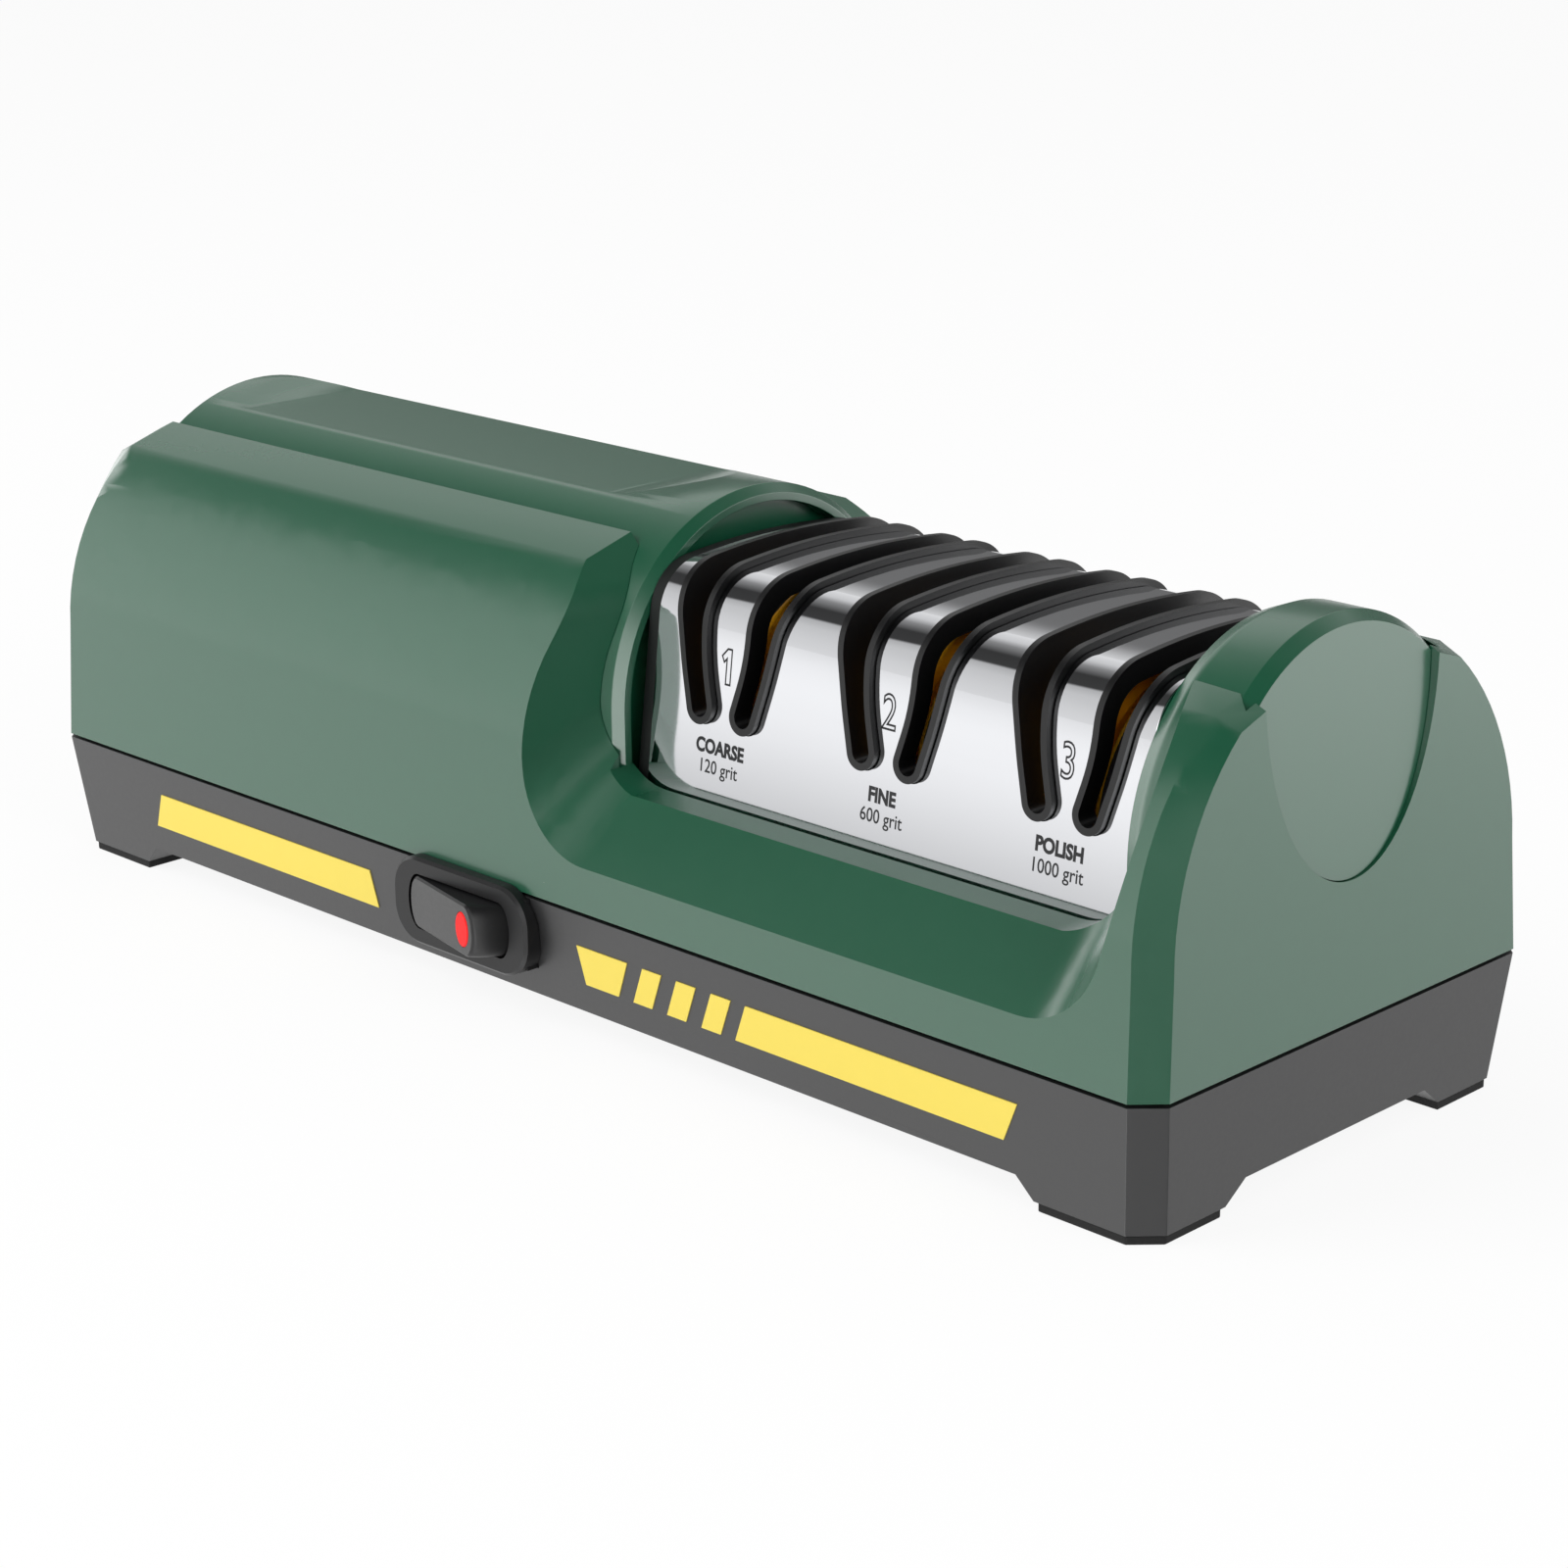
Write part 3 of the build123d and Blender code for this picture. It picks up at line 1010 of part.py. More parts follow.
with BuildPart() as switch_tabs:
    for side in (-1, 1):
        with Locations((SWITCH_X + side * TAB_OFFSET, SWITCH_BODY_Y + SWITCH_BODY_SIZE[1],
                        SWITCH_Z - SWITCH_BODY_DROP)):
            Box(*TAB_SIZE, align=(Align.CENTER, Align.MIN, Align.CENTER))
save(switch_tabs, "switch_tabs")


# ---------------------------------------------------------------- front labels
LABEL_MIDDLE_Z = (LABEL_TOP_Z + LABEL_BOTTOM_Z) / 2
LABEL_TILT = atan2(FRONT_SLOPE, 1)
LABEL_PLANE = Plane(
    origin=(0, front_y(LABEL_MIDDLE_Z), LABEL_MIDDLE_Z), x_dir=(1, 0, 0),
    z_dir=(0, -cos(LABEL_TILT), -sin(LABEL_TILT)),
)
LABEL_HALF = (LABEL_TOP_Z - LABEL_BOTTOM_Z) / 2 / cos(LABEL_TILT)


def front_label(name, *quads):
    """Thin labels on the tray's front; each quad gives its top and bottom X pairs."""
    with BuildPart() as label:
        with BuildSketch(LABEL_PLANE):
            for top_left, top_right, bottom_left, bottom_right in quads:
                with BuildLine():
                    Polyline((top_left, LABEL_HALF), (top_right, LABEL_HALF),
                             (bottom_right, -LABEL_HALF), (bottom_left, -LABEL_HALF), close=True)
                make_face()
        extrude(amount=LABEL_THICKNESS)
    save(label, name)


front_label("label_strip_left", [
    LEFT_STRIP_OFFSETS[0] - HALF_LENGTH, SWITCH_X - LEFT_STRIP_GAPS[0],
    LEFT_STRIP_OFFSETS[1] - HALF_LENGTH, SWITCH_X - LEFT_STRIP_GAPS[1],
])
front_label("label_wedge", [SWITCH_X + offset for offset in WEDGE_OFFSETS])
front_label("label_bars", *[[SWITCH_X + offset + n * BAR_PITCH for offset in BAR_OFFSETS]
                            for n in range(BAR_COUNT)])
front_label("label_strip_right", [
    SWITCH_X + RIGHT_STRIP_GAPS[0], HALF_LENGTH - RIGHT_STRIP_OFFSETS[0],
    SWITCH_X + RIGHT_STRIP_GAPS[1], HALF_LENGTH - RIGHT_STRIP_OFFSETS[1],
])


# ----------------------------------------------------------------- power inlet
INLET_FACE_Y = HALF_WIDTH - INLET_RECESS
INLET_BACK_Y = INLET_FACE_Y - INLET_DEPTH
with BuildPart() as power_inlet:
    with BuildSketch(Plane.XZ.offset(-INLET_FACE_Y)):
        with Locations((INLET_X, INLET_Z)):
            RectangleRounded(INLET_LENGTH, INLET_HEIGHT, INLET_CORNER)
    extrude(amount=INLET_FACE_Y - INLET_BACK_Y)
    with BuildSketch(Plane.XZ.offset(-INLET_FACE_Y)):
        with Locations((INLET_X, INLET_Z)):
            SlotCenterToCenter(PIN_SPACING, SOCKET_HEIGHT)
    extrude(amount=SOCKET_DEPTH, mode=Mode.SUBTRACT)
    with BuildSketch(Plane.XZ.offset(-INLET_FACE_Y)):
        with Locations((INLET_X, INLET_Z)):
            with GridLocations(PIN_SPACING, 1, 2, 1):
                Circle(PIN_RADIUS)
    extrude(amount=INLET_DEPTH, mode=Mode.SUBTRACT)
save(power_inlet, "power_inlet")

with BuildPart() as inlet_pins:
    with BuildSketch(Plane.XZ.offset(PIN_RECESS - INLET_FACE_Y)):
        with Locations((INLET_X, INLET_Z)):
            with GridLocations(PIN_SPACING, 1, 2, 1):
                Circle(PIN_RADIUS)
    extrude(amount=INLET_DEPTH + PIN_TAIL)
save(inlet_pins, "inlet_pins")


# ---------------------------------------------------------------- spindle line
def ring(x_low, x_high, outer, inner):
    """Plain ring or tube about the spindle axis between two X stations."""
    with BuildPart() as tube:
        with BuildSketch(Plane.YZ.offset(x_low)):
            with Locations((0, AXIS_Z)):
                Circle(outer)
                if inner > 0:
                    Circle(inner, mode=Mode.SUBTRACT)
        extrude(amount=x_high - x_low)
    return tube.part


SPINDLE_LEFT_X = COUPLING_X
SPINDLE_RIGHT_X = RIGHT_BEARING_X + BEARING_WIDTH / 2 + SPINDLE_END
RING_STATIONS = [centre + side * (DISC_FACE_X + RUNNING_FIT + RING_THICKNESS / 2)
                 for centre in STAGE_CENTRES for side in (-1, 1)]

with BuildPart() as spindle:
    add(ring(SPINDLE_LEFT_X, SPINDLE_RIGHT_X, SPINDLE_RADIUS, 0))
    chamfer(edges().filter_by(GeomType.CIRCLE), length=SPINDLE_CHAMFER)
    with Locations(((LEFT_BEARING_X + RIGHT_BEARING_X) / 2, 0, AXIS_Z - FLAT_HEIGHT)):
        Box(RIGHT_BEARING_X - LEFT_BEARING_X - 2 * BEARING_WIDTH, 4 * SPINDLE_RADIUS, SPINDLE_RADIUS,
            align=(Align.CENTER, Align.CENTER, Align.MAX), mode=Mode.SUBTRACT)
    for station in RING_STATIONS:
        add(ring(station - RING_THICKNESS / 2, station + RING_THICKNESS / 2,
                 SPINDLE_RADIUS + 1, SPINDLE_RADIUS - GROOVE_DEPTH), mode=Mode.SUBTRACT)
save(spindle, "spindle")

with BuildPart() as retaining_rings:
    for station in RING_STATIONS:
        add(ring(station - RING_THICKNESS / 2, station + RING_THICKNESS / 2,
                 RING_RADIUS, SPINDLE_RADIUS - GROOVE_DEPTH))
    with Locations(((LEFT_BEARING_X + RIGHT_BEARING_X) / 2, 0, AXIS_Z - SPINDLE_RADIUS + 1)):
        Box(LENGTH, RING_MOUTH, 2 * SPINDLE_RADIUS, align=(Align.CENTER, Align.CENTER, Align.MAX),
            mode=Mode.SUBTRACT)
save(retaining_rings, "retaining_rings")

DISC_BACK_X = DISC_FACE_X - DISC_RIM_DEPTH
WEB_BACK_X = DISC_FACE_X - DISC_WEB


def disc_carrier(centre, side):
    """Cup-shaped disc: a web with a hub and a rim that turns back, keyed to the flat."""
    with BuildPart() as disc:
        add(ring(WEB_BACK_X, DISC_FACE_X, DISC_RADIUS, 0))
        add(ring(DISC_BACK_X, DISC_FACE_X, DISC_RADIUS, DISC_RADIUS - DISC_RIM_WIDTH))
        add(ring(DISC_BACK_X, DISC_FACE_X, HUB_RADIUS, 0))
        chamfer(edges().filter_by(GeomType.CIRCLE).sort_by(SortBy.RADIUS)[-2:], length=DISC_CHAMFER)
        with BuildSketch(Plane.YZ.offset(DISC_BACK_X - 1)):
            with Locations((0, AXIS_Z)):
                Circle(SPINDLE_RADIUS + RUNNING_FIT)
            with Locations((0, AXIS_Z - FLAT_HEIGHT - RUNNING_FIT)):
                Rectangle(4 * SPINDLE_RADIUS, 2 * SPINDLE_RADIUS, align=(Align.CENTER, Align.MAX),
                          mode=Mode.SUBTRACT)
        extrude(amount=DISC_RIM_DEPTH + 2, mode=Mode.SUBTRACT)
    shape = disc.part if side > 0 else disc.part.mirror(Plane.YZ)
    return Pos(centre, 0, 0) * shape


def grit_ring(centre, side):
    """Abrasive ring bonded on the outer face of a disc."""
    near, far = sorted((centre + side * DISC_FACE_X, centre + side * (DISC_FACE_X + GRIT_THICKNESS)))
    return ring(near, far, GRIT_RADIUS, GRIT_BORE)


def stage_spring(centre):
    """Short compression spring round the hubs, between the two webs."""
    half = WEB_BACK_X - SPRING_WIRE - SPRING_GAP
    with BuildPart() as spring:
        with BuildLine():
            coil = Helix(pitch=2 * half / SPRING_TURNS, height=2 * half, radius=SPRING_RADIUS,
                         center=(centre - half, 0, AXIS_Z), direction=(1, 0, 0))
        with BuildSketch(Plane(origin=coil @ 0, z_dir=coil % 0)):
            Circle(SPRING_WIRE)
        sweep(path=coil, is_frenet=True)
    return spring


for number, centre in enumerate(STAGE_CENTRES, start=1):
    for side_name, side in (("left", -1), ("right", 1)):
        with BuildPart() as disc_piece:
            add(disc_carrier(centre, side))
        save(disc_piece, f"stage{number}_{side_name}_disc")
        with BuildPart() as grit_piece:
            add(grit_ring(centre, side))
        save(grit_piece, f"stage{number}_{side_name}_grit")
    save(stage_spring(centre), f"stage{number}_spring")


# ------------------------------------------------------- bearings and brackets
BRACKET_HEAD_RADIUS = BEARING_RADIUS + BRACKET_WALL


def bearing_bush(x_centre):
    """Sintered bronze bush with a running fit on the spindle."""
    with BuildPart() as bush:
        add(ring(x_centre - BEARING_WIDTH / 2, x_centre + BEARING_WIDTH / 2,
                 BEARING_RADIUS, SPINDLE_RADIUS + RUNNING_FIT))
    return bush


def bearing_bracket(x_centre):
    """Upright bracket on the tray's floor that holds one bush."""
    with BuildPart() as bracket:
        with BuildSketch(Plane.YZ.offset(x_centre - BRACKET_THICKNESS / 2)):
            with BuildLine():
                Polyline((-BRACKET_HEAD_RADIUS, AXIS_Z), (-BRACKET_HALF_WIDTH, FLOOR_Z),
                         (BRACKET_HALF_WIDTH, FLOOR_Z), (BRACKET_HEAD_RADIUS, AXIS_Z))
                ThreePointArc((BRACKET_HEAD_RADIUS, AXIS_Z), (0, AXIS_Z + BRACKET_HEAD_RADIUS),
                              (-BRACKET_HEAD_RADIUS, AXIS_Z))
            make_face()
            with Locations((0, FLOOR_Z)):
                Rectangle(2 * BRACKET_FOOT_HALF, BRACKET_FOOT_HEIGHT, align=(Align.CENTER, Align.MIN))
            with Locations((0, AXIS_Z)):
                Circle(BEARING_RADIUS, mode=Mode.SUBTRACT)
            with Locations((0, FLOOR_Z + BRACKET_WINDOW_Z)):
                RectangleRounded(BRACKET_WINDOW_WIDTH, BRACKET_WINDOW_HEIGHT, BRACKET_WINDOW_CORNER,
                                 mode=Mode.SUBTRACT)
        extrude(amount=BRACKET_THICKNESS)
        with BuildSketch(Plane.XY.offset(FLOOR_Z)):
            with Locations((x_centre, -BRACKET_SCREW_Y), (x_centre, BRACKET_SCREW_Y)):
                Circle(SCREW_RADIUS)
        extrude(amount=BRACKET_FOOT_HEIGHT, mode=Mode.SUBTRACT)
    return bracket


for end_name, x_centre in (("left", LEFT_BEARING_X), ("right", RIGHT_BEARING_X)):
    save(bearing_bush(x_centre), f"{end_name}_bearing")
    save(bearing_bracket(x_centre), f"{end_name}_bracket")

with BuildPart() as bracket_screws:
    for x_centre in (LEFT_BEARING_X, RIGHT_BEARING_X):
        with BuildSketch(Plane.XY.offset(BRACKET_SCREW_HOLE_Z)):
            with Locations((x_centre, -BRACKET_SCREW_Y), (x_centre, BRACKET_SCREW_Y)):
                Circle(SCREW_RADIUS)
        extrude(amount=FLOOR_Z + BRACKET_FOOT_HEIGHT - BRACKET_SCREW_HOLE_Z)
        with BuildSketch(Plane.XY.offset(FLOOR_Z + BRACKET_FOOT_HEIGHT)):
            with Locations((x_centre, -BRACKET_SCREW_Y), (x_centre, BRACKET_SCREW_Y)):
                Circle(SCREW_HEAD_RADIUS)
        extrude(amount=SCREW_HEAD_HEIGHT)
save(bracket_screws, "bracket_screws")

with BuildPart() as coupling:
    joint_x = SPINDLE_LEFT_X - CLEARANCE
    coupling_left_x = COUPLING_X - COUPLING_LENGTH / 2
    add(ring(coupling_left_x, joint_x, COUPLING_RADIUS, MOTOR_SHAFT_RADIUS))
    add(ring(joint_x, coupling_left_x + COUPLING_LENGTH, COUPLING_RADIUS, SPINDLE_RADIUS))
    outer_rims = edges().filter_by(GeomType.CIRCLE).sort_by(SortBy.RADIUS)[-2:]
    chamfer(outer_rims, length=COUPLING_CHAMFER)
save(coupling, "coupling")


# ----------------------------------------------------------------------- motor
MOTOR_REAR_X = MOTOR_FRONT_X - MOTOR_LENGTH
MOTOR_INNER = MOTOR_RADIUS - MOTOR_WALL
MAGNET_INNER = MOTOR_INNER - MAGNET_THICKNESS
CORE_RADIUS = MAGNET_INNER - CORE_GAP
CORE_CENTRE_X = MOTOR_FRONT_X - MOTOR_LENGTH / 2
SHAFT_REAR_X = MOTOR_REAR_X - REAR_CAP_LENGTH + 1.0
CAP_RADIUS = MOTOR_RADIUS - CAP_STEP
CAP_BACK_X = MOTOR_REAR_X - REAR_CAP_LENGTH

with BuildPart() as motor_can:
    add(ring(MOTOR_REAR_X, MOTOR_FRONT_X, MOTOR_RADIUS, MOTOR_INNER))
    add(ring(MOTOR_FRONT_X - CAN_FACE, MOTOR_FRONT_X, MOTOR_RADIUS, MOTOR_SHAFT_RADIUS + RUNNING_FIT))
    add(ring(MOTOR_FRONT_X - CAN_FACE - 1, MOTOR_FRONT_X + NOSE_LENGTH, NOSE_RADIUS,
             MOTOR_SHAFT_RADIUS + RUNNING_FIT))
save(motor_can, "motor_can")

with BuildPart() as motor_magnets:
    add(ring(CORE_CENTRE_X - MAGNET_LENGTH / 2, CORE_CENTRE_X + MAGNET_LENGTH / 2,
             MOTOR_INNER, MAGNET_INNER))
    with Locations((CORE_CENTRE_X, 0, AXIS_Z)):
        Box(2 * MAGNET_LENGTH, 4 * MOTOR_RADIUS, MAGNET_GAP, mode=Mode.SUBTRACT)
save(motor_magnets, "motor_magnets")

with BuildPart() as motor_rear_cap:
    add(ring(CAP_BACK_X, MOTOR_REAR_X, CAP_RADIUS, CAP_RADIUS - CAP_WALL))
    add(ring(MOTOR_REAR_X - CAP_FLANGE, MOTOR_REAR_X, MOTOR_RADIUS, CAP_RADIUS - CAP_WALL))
    add(ring(CAP_BACK_X, CAP_BACK_X + CAN_FACE, CAP_RADIUS, 0))
    add(ring(CAP_BACK_X, MOTOR_REAR_X - CAP_FLANGE, NOSE_RADIUS, MOTOR_SHAFT_RADIUS + RUNNING_FIT))
    add(ring(SHAFT_REAR_X - 0.5, MOTOR_REAR_X, MOTOR_SHAFT_RADIUS + RUNNING_FIT, 0),
        mode=Mode.SUBTRACT)
save(motor_rear_cap, "motor_rear_cap")

with BuildPart() as rotor:
    add(ring(CORE_CENTRE_X - CORE_LENGTH / 2, CORE_CENTRE_X + CORE_LENGTH / 2, CORE_RADIUS, 0))
    with BuildSketch(Plane.YZ.offset(CORE_CENTRE_X - CORE_LENGTH / 2)):
        with Locations((0, AXIS_Z)):
            with PolarLocations(CORE_RADIUS - CORE_SLOT_DEPTH, CORE_SLOTS):
                Circle(CORE_SLOT_RADIUS)
            with PolarLocations(CORE_RADIUS, CORE_SLOTS):
                Rectangle(2 * CORE_SLOT_DEPTH, CORE_SLOT_MOUTH)
    extrude(amount=CORE_LENGTH, mode=Mode.SUBTRACT)
    add(ring(SHAFT_REAR_X, SPINDLE_LEFT_X - 2 * CLEARANCE, MOTOR_SHAFT_RADIUS, 0))
save(rotor, "rotor")

COMMUTATOR_FRONT_X = CORE_CENTRE_X - CORE_LENGTH / 2 - COMMUTATOR_GAP
COMMUTATOR_BACK_X = COMMUTATOR_FRONT_X - COMMUTATOR_LENGTH
with BuildPart() as commutator:
    add(ring(COMMUTATOR_BACK_X, COMMUTATOR_FRONT_X, COMMUTATOR_RADIUS, MOTOR_SHAFT_RADIUS))
    with BuildSketch(Plane.YZ.offset(COMMUTATOR_BACK_X)):
        with Locations((0, AXIS_Z)):
            with PolarLocations(COMMUTATOR_RADIUS, CORE_SLOTS):
                Rectangle(COMMUTATOR_SLOT_DEPTH, COMMUTATOR_SLOT)
    extrude(amount=COMMUTATOR_LENGTH, mode=Mode.SUBTRACT)
save(commutator, "commutator")

FAN_LEFT_X = FAN_X - FAN_LENGTH / 2
with BuildPart() as fan:
    add(ring(FAN_LEFT_X, FAN_LEFT_X + FAN_LENGTH, FAN_HUB_RADIUS, MOTOR_SHAFT_RADIUS))
    add(ring(FAN_LEFT_X, FAN_LEFT_X + FAN_WALL, FAN_RADIUS, MOTOR_SHAFT_RADIUS))
    with BuildSketch(Plane.YZ.offset(FAN_LEFT_X)):
        with Locations((0, AXIS_Z)):
            with PolarLocations(FAN_HUB_RADIUS - FAN_ROOT, FAN_BLADES):
                Rectangle(FAN_RADIUS - FAN_HUB_RADIUS, FAN_WALL, align=(Align.MIN, Align.CENTER))
    extrude(amount=FAN_LENGTH)
save(fan, "fan")

CRADLE_TOP_Z = AXIS_Z - CRADLE_DROP
with BuildPart() as motor_cradle:
    for saddle_x in (MOTOR_FRONT_X - FRONT_SADDLE, MOTOR_REAR_X + REAR_SADDLE):
        with BuildSketch(Plane.YZ.offset(saddle_x - SADDLE_WIDTH / 2)):
            with Locations((0, FLOOR_Z)):
                Rectangle(2 * MOTOR_RADIUS, CRADLE_TOP_Z - FLOOR_Z, align=(Align.CENTER, Align.MIN))
            with Locations((0, AXIS_Z)):
                Circle(MOTOR_RADIUS, mode=Mode.SUBTRACT)
        extrude(amount=SADDLE_WIDTH)
    rail_length = MOTOR_LENGTH - FRONT_SADDLE - REAR_SADDLE + SADDLE_WIDTH
    rail_x = (MOTOR_FRONT_X - FRONT_SADDLE + MOTOR_REAR_X + REAR_SADDLE) / 2
    for side in (-1, 1):
        with Locations((rail_x, side * (MOTOR_RADIUS - RAIL_SIZE / 2), FLOOR_Z)):
            Box(rail_length, RAIL_SIZE, RAIL_SIZE, align=(Align.CENTER, Align.CENTER, Align.MIN))
save(motor_cradle, "motor_cradle")


# ----------------------------------------------------------------- electronics
BOARD_TOP_Z = BOARD_Z + BOARD_THICKNESS

with BuildPart() as circuit_board:
    with BuildSketch(Plane.XY.offset(BOARD_Z)):
        with Locations((BOARD_X, BOARD_Y)):
            Rectangle(BOARD_WIDTH, BOARD_LENGTH)
            with GridLocations(BOARD_HOLES_X, BOARD_HOLES_Y, 2, 2):
                Circle(BOARD_HOLE_RADIUS, mode=Mode.SUBTRACT)
    extrude(amount=BOARD_THICKNESS)
save(circuit_board, "circuit_board")

with BuildPart() as board_parts:
    with Locations((BOARD_X, BOARD_Y - TRANSFORMER_OFFSET, BOARD_TOP_Z)):
        Box(*TRANSFORMER_SIZE, align=(Align.CENTER, Align.CENTER, Align.MIN))
    with Locations((BOARD_X - CAPACITOR_OFFSET[0], BOARD_Y + CAPACITOR_OFFSET[1], BOARD_TOP_Z)):
        Cylinder(CAPACITOR_RADIUS, CAPACITOR_HEIGHT, align=(Align.CENTER, Align.CENTER, Align.MIN))
    with Locations((BOARD_X + RELAY_OFFSET[0], BOARD_Y + RELAY_OFFSET[1], BOARD_TOP_Z)):
        Box(*RELAY_SIZE, align=(Align.CENTER, Align.CENTER, Align.MIN))
save(board_parts, "board_parts")
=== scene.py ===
"""Looks of an electric knife sharpener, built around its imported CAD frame.

Metres, in the frame of the part: X along the body, -Y to the front, Z up.
Sizes that are given in millimetres meet the factor MM where they are used.
"""
from math import cos, pi, radians, sin, tan

import bmesh
import bpy
import numpy as np
from mathutils import Euler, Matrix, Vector


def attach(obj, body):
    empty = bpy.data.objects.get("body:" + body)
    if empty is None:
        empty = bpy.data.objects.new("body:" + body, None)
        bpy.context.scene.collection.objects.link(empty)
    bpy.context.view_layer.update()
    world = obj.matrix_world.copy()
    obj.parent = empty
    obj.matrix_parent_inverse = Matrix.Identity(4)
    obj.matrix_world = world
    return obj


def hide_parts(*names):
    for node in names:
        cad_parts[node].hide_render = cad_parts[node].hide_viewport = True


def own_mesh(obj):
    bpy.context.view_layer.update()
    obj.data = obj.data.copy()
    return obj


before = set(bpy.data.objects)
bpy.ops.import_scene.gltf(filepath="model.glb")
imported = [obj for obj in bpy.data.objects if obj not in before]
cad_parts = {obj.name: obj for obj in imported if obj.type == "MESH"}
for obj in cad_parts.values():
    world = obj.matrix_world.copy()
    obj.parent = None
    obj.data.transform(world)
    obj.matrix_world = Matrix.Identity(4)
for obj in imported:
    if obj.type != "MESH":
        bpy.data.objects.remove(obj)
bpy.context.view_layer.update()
scene = bpy.context.scene
MM = 0.001


# ---- Housing shell ---------------------------------------------------------
# The one-piece moulded housing: glossy ABS in deep green, with soft moulded
# edges. It is dropped over the tray and held from below by four screws.
def linear_colour(colour):
    """The linear values of a colour in sRGB bytes: the standard's power curve, straight near black."""
    return [((c / 255 + 0.055) / 1.055) ** 2.4 if c > 10 else c / 255 / 12.92 for c in colour]


def new_material(name, colour, roughness, metallic=0.0, specular=0.5, ior=1.5, coat=0.0, coat_roughness=0.03):
    """A Principled material; its colour is given as sRGB bytes."""
    material = bpy.data.materials.new(name)
    material.use_nodes = True
    shader = material.node_tree.nodes["Principled BSDF"]
    shader.inputs["Base Color"].default_value = (*linear_colour(colour), 1.0)
    shader.inputs["Roughness"].default_value = roughness
    shader.inputs["Metallic"].default_value = metallic
    shader.inputs["Specular IOR Level"].default_value = specular
    shader.inputs["IOR"].default_value = ior
    shader.inputs["Coat Weight"].default_value = coat
    shader.inputs["Coat Roughness"].default_value = coat_roughness
    return material


GRAIN_DETAIL = 3.0


def add_grain(material, scale, height, roughness_spread=0.0, colour_spread=0.0, stretch=(1, 1, 1)):
    """Fine noise on Object coordinates: a bump, and a small spread of roughness and colour."""
    tree = material.node_tree
    shader = tree.nodes["Principled BSDF"]
    coordinates = tree.nodes.new("ShaderNodeTexCoord")
    mapping = tree.nodes.new("ShaderNodeMapping")
    mapping.inputs["Scale"].default_value = stretch
    noise = tree.nodes.new("ShaderNodeTexNoise")
    noise.inputs["Scale"].default_value = scale
    noise.inputs["Detail"].default_value = GRAIN_DETAIL
    bump = tree.nodes.new("ShaderNodeBump")
    bump.inputs["Distance"].default_value = height
    bump.inputs["Strength"].default_value = 1.0
    tree.links.new(coordinates.outputs["Object"], mapping.inputs["Vector"])
    tree.links.new(mapping.outputs["Vector"], noise.inputs["Vector"])
    tree.links.new(noise.outputs["Fac"], bump.inputs["Height"])
    tree.links.new(bump.outputs["Normal"], shader.inputs["Normal"])
    if roughness_spread:
        middle = shader.inputs["Roughness"].default_value
        spread = tree.nodes.new("ShaderNodeMapRange")
        spread.inputs["To Min"].default_value = middle - roughness_spread
        spread.inputs["To Max"].default_value = middle + roughness_spread
        tree.links.new(noise.outputs["Fac"], spread.inputs["Value"])
        tree.links.new(spread.outputs["Result"], shader.inputs["Roughness"])
    if colour_spread:
        base = shader.inputs["Base Color"].default_value[:]
        ramp = tree.nodes.new("ShaderNodeValToRGB")
        for stop, factor in zip(ramp.color_ramp.elements, (1 - colour_spread, 1 + colour_spread)):
            stop.color = (*[min(1.0, c * factor) for c in base[:3]], 1.0)
        tree.links.new(noise.outputs["Fac"], ramp.inputs["Fac"])
        tree.links.new(ramp.outputs["Color"], shader.inputs["Base Color"])
    return material


MERGE_DISTANCE = 2e-6
FLAT_WITHIN = radians(0.4)
SHARP_FROM = radians(32)
EDGE_SEGMENTS = 2


def eased_piece(node, body, material, width):
    """A merged copy of a CAD node whose sharp edges are rounded by a small bevel."""
    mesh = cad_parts[node].data.copy()
    mesh.name = node + "_moulded"
    for attribute in [a for a in mesh.attributes if a.name == "custom_normal"]:
        mesh.attributes.remove(attribute)
    work = bmesh.new()
    work.from_mesh(mesh)
    bmesh.ops.remove_doubles(work, verts=work.verts, dist=MERGE_DISTANCE)
    bmesh.ops.dissolve_limit(work, angle_limit=FLAT_WITHIN, verts=work.verts, edges=work.edges,
                             delimit={"NORMAL"})
    work.to_mesh(mesh)
    work.free()
    mesh.materials.clear()
    mesh.materials.append(material)
    piece = bpy.data.objects.new(node + "_moulded", mesh)
    scene.collection.objects.link(piece)
    mesh.shade_smooth()
    mesh.set_sharp_from_angle(angle=SHARP_FROM)
    if width:
        bevel = piece.modifiers.new("eased_edges", "BEVEL")
        bevel.width = width
        bevel.segments = EDGE_SEGMENTS
        bevel.limit_method = "ANGLE"
        bevel.angle_limit = SHARP_FROM
        bevel.miter_outer = "MITER_ARC"
    weighted = piece.modifiers.new("flat_faces_lead", "WEIGHTED_NORMAL")
    weighted.keep_sharp = True
    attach(piece, body)
    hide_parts(node)
    return piece


green_plastic = add_grain(new_material("green_plastic", (8, 84, 56), roughness=0.26, ior=2.1, coat=0.55,
                                       coat_roughness=0.65),
                          scale=420, height=4e-7, roughness_spread=0.02, colour_spread=0.03)
eased_piece("housing_shell", "housing", green_plastic, 0.45 * MM)


# ---- Arch covers -----------------------------------------------------------
# Two arch-shaped caps in the same green plastic: the long one over the motor
# with its sunken top panel, the short one at the far end. They clip in.
eased_piece("motor_cover", "housing", green_plastic, 0.25 * MM)
eased_piece("end_cover", "housing", green_plastic, 0.25 * MM)


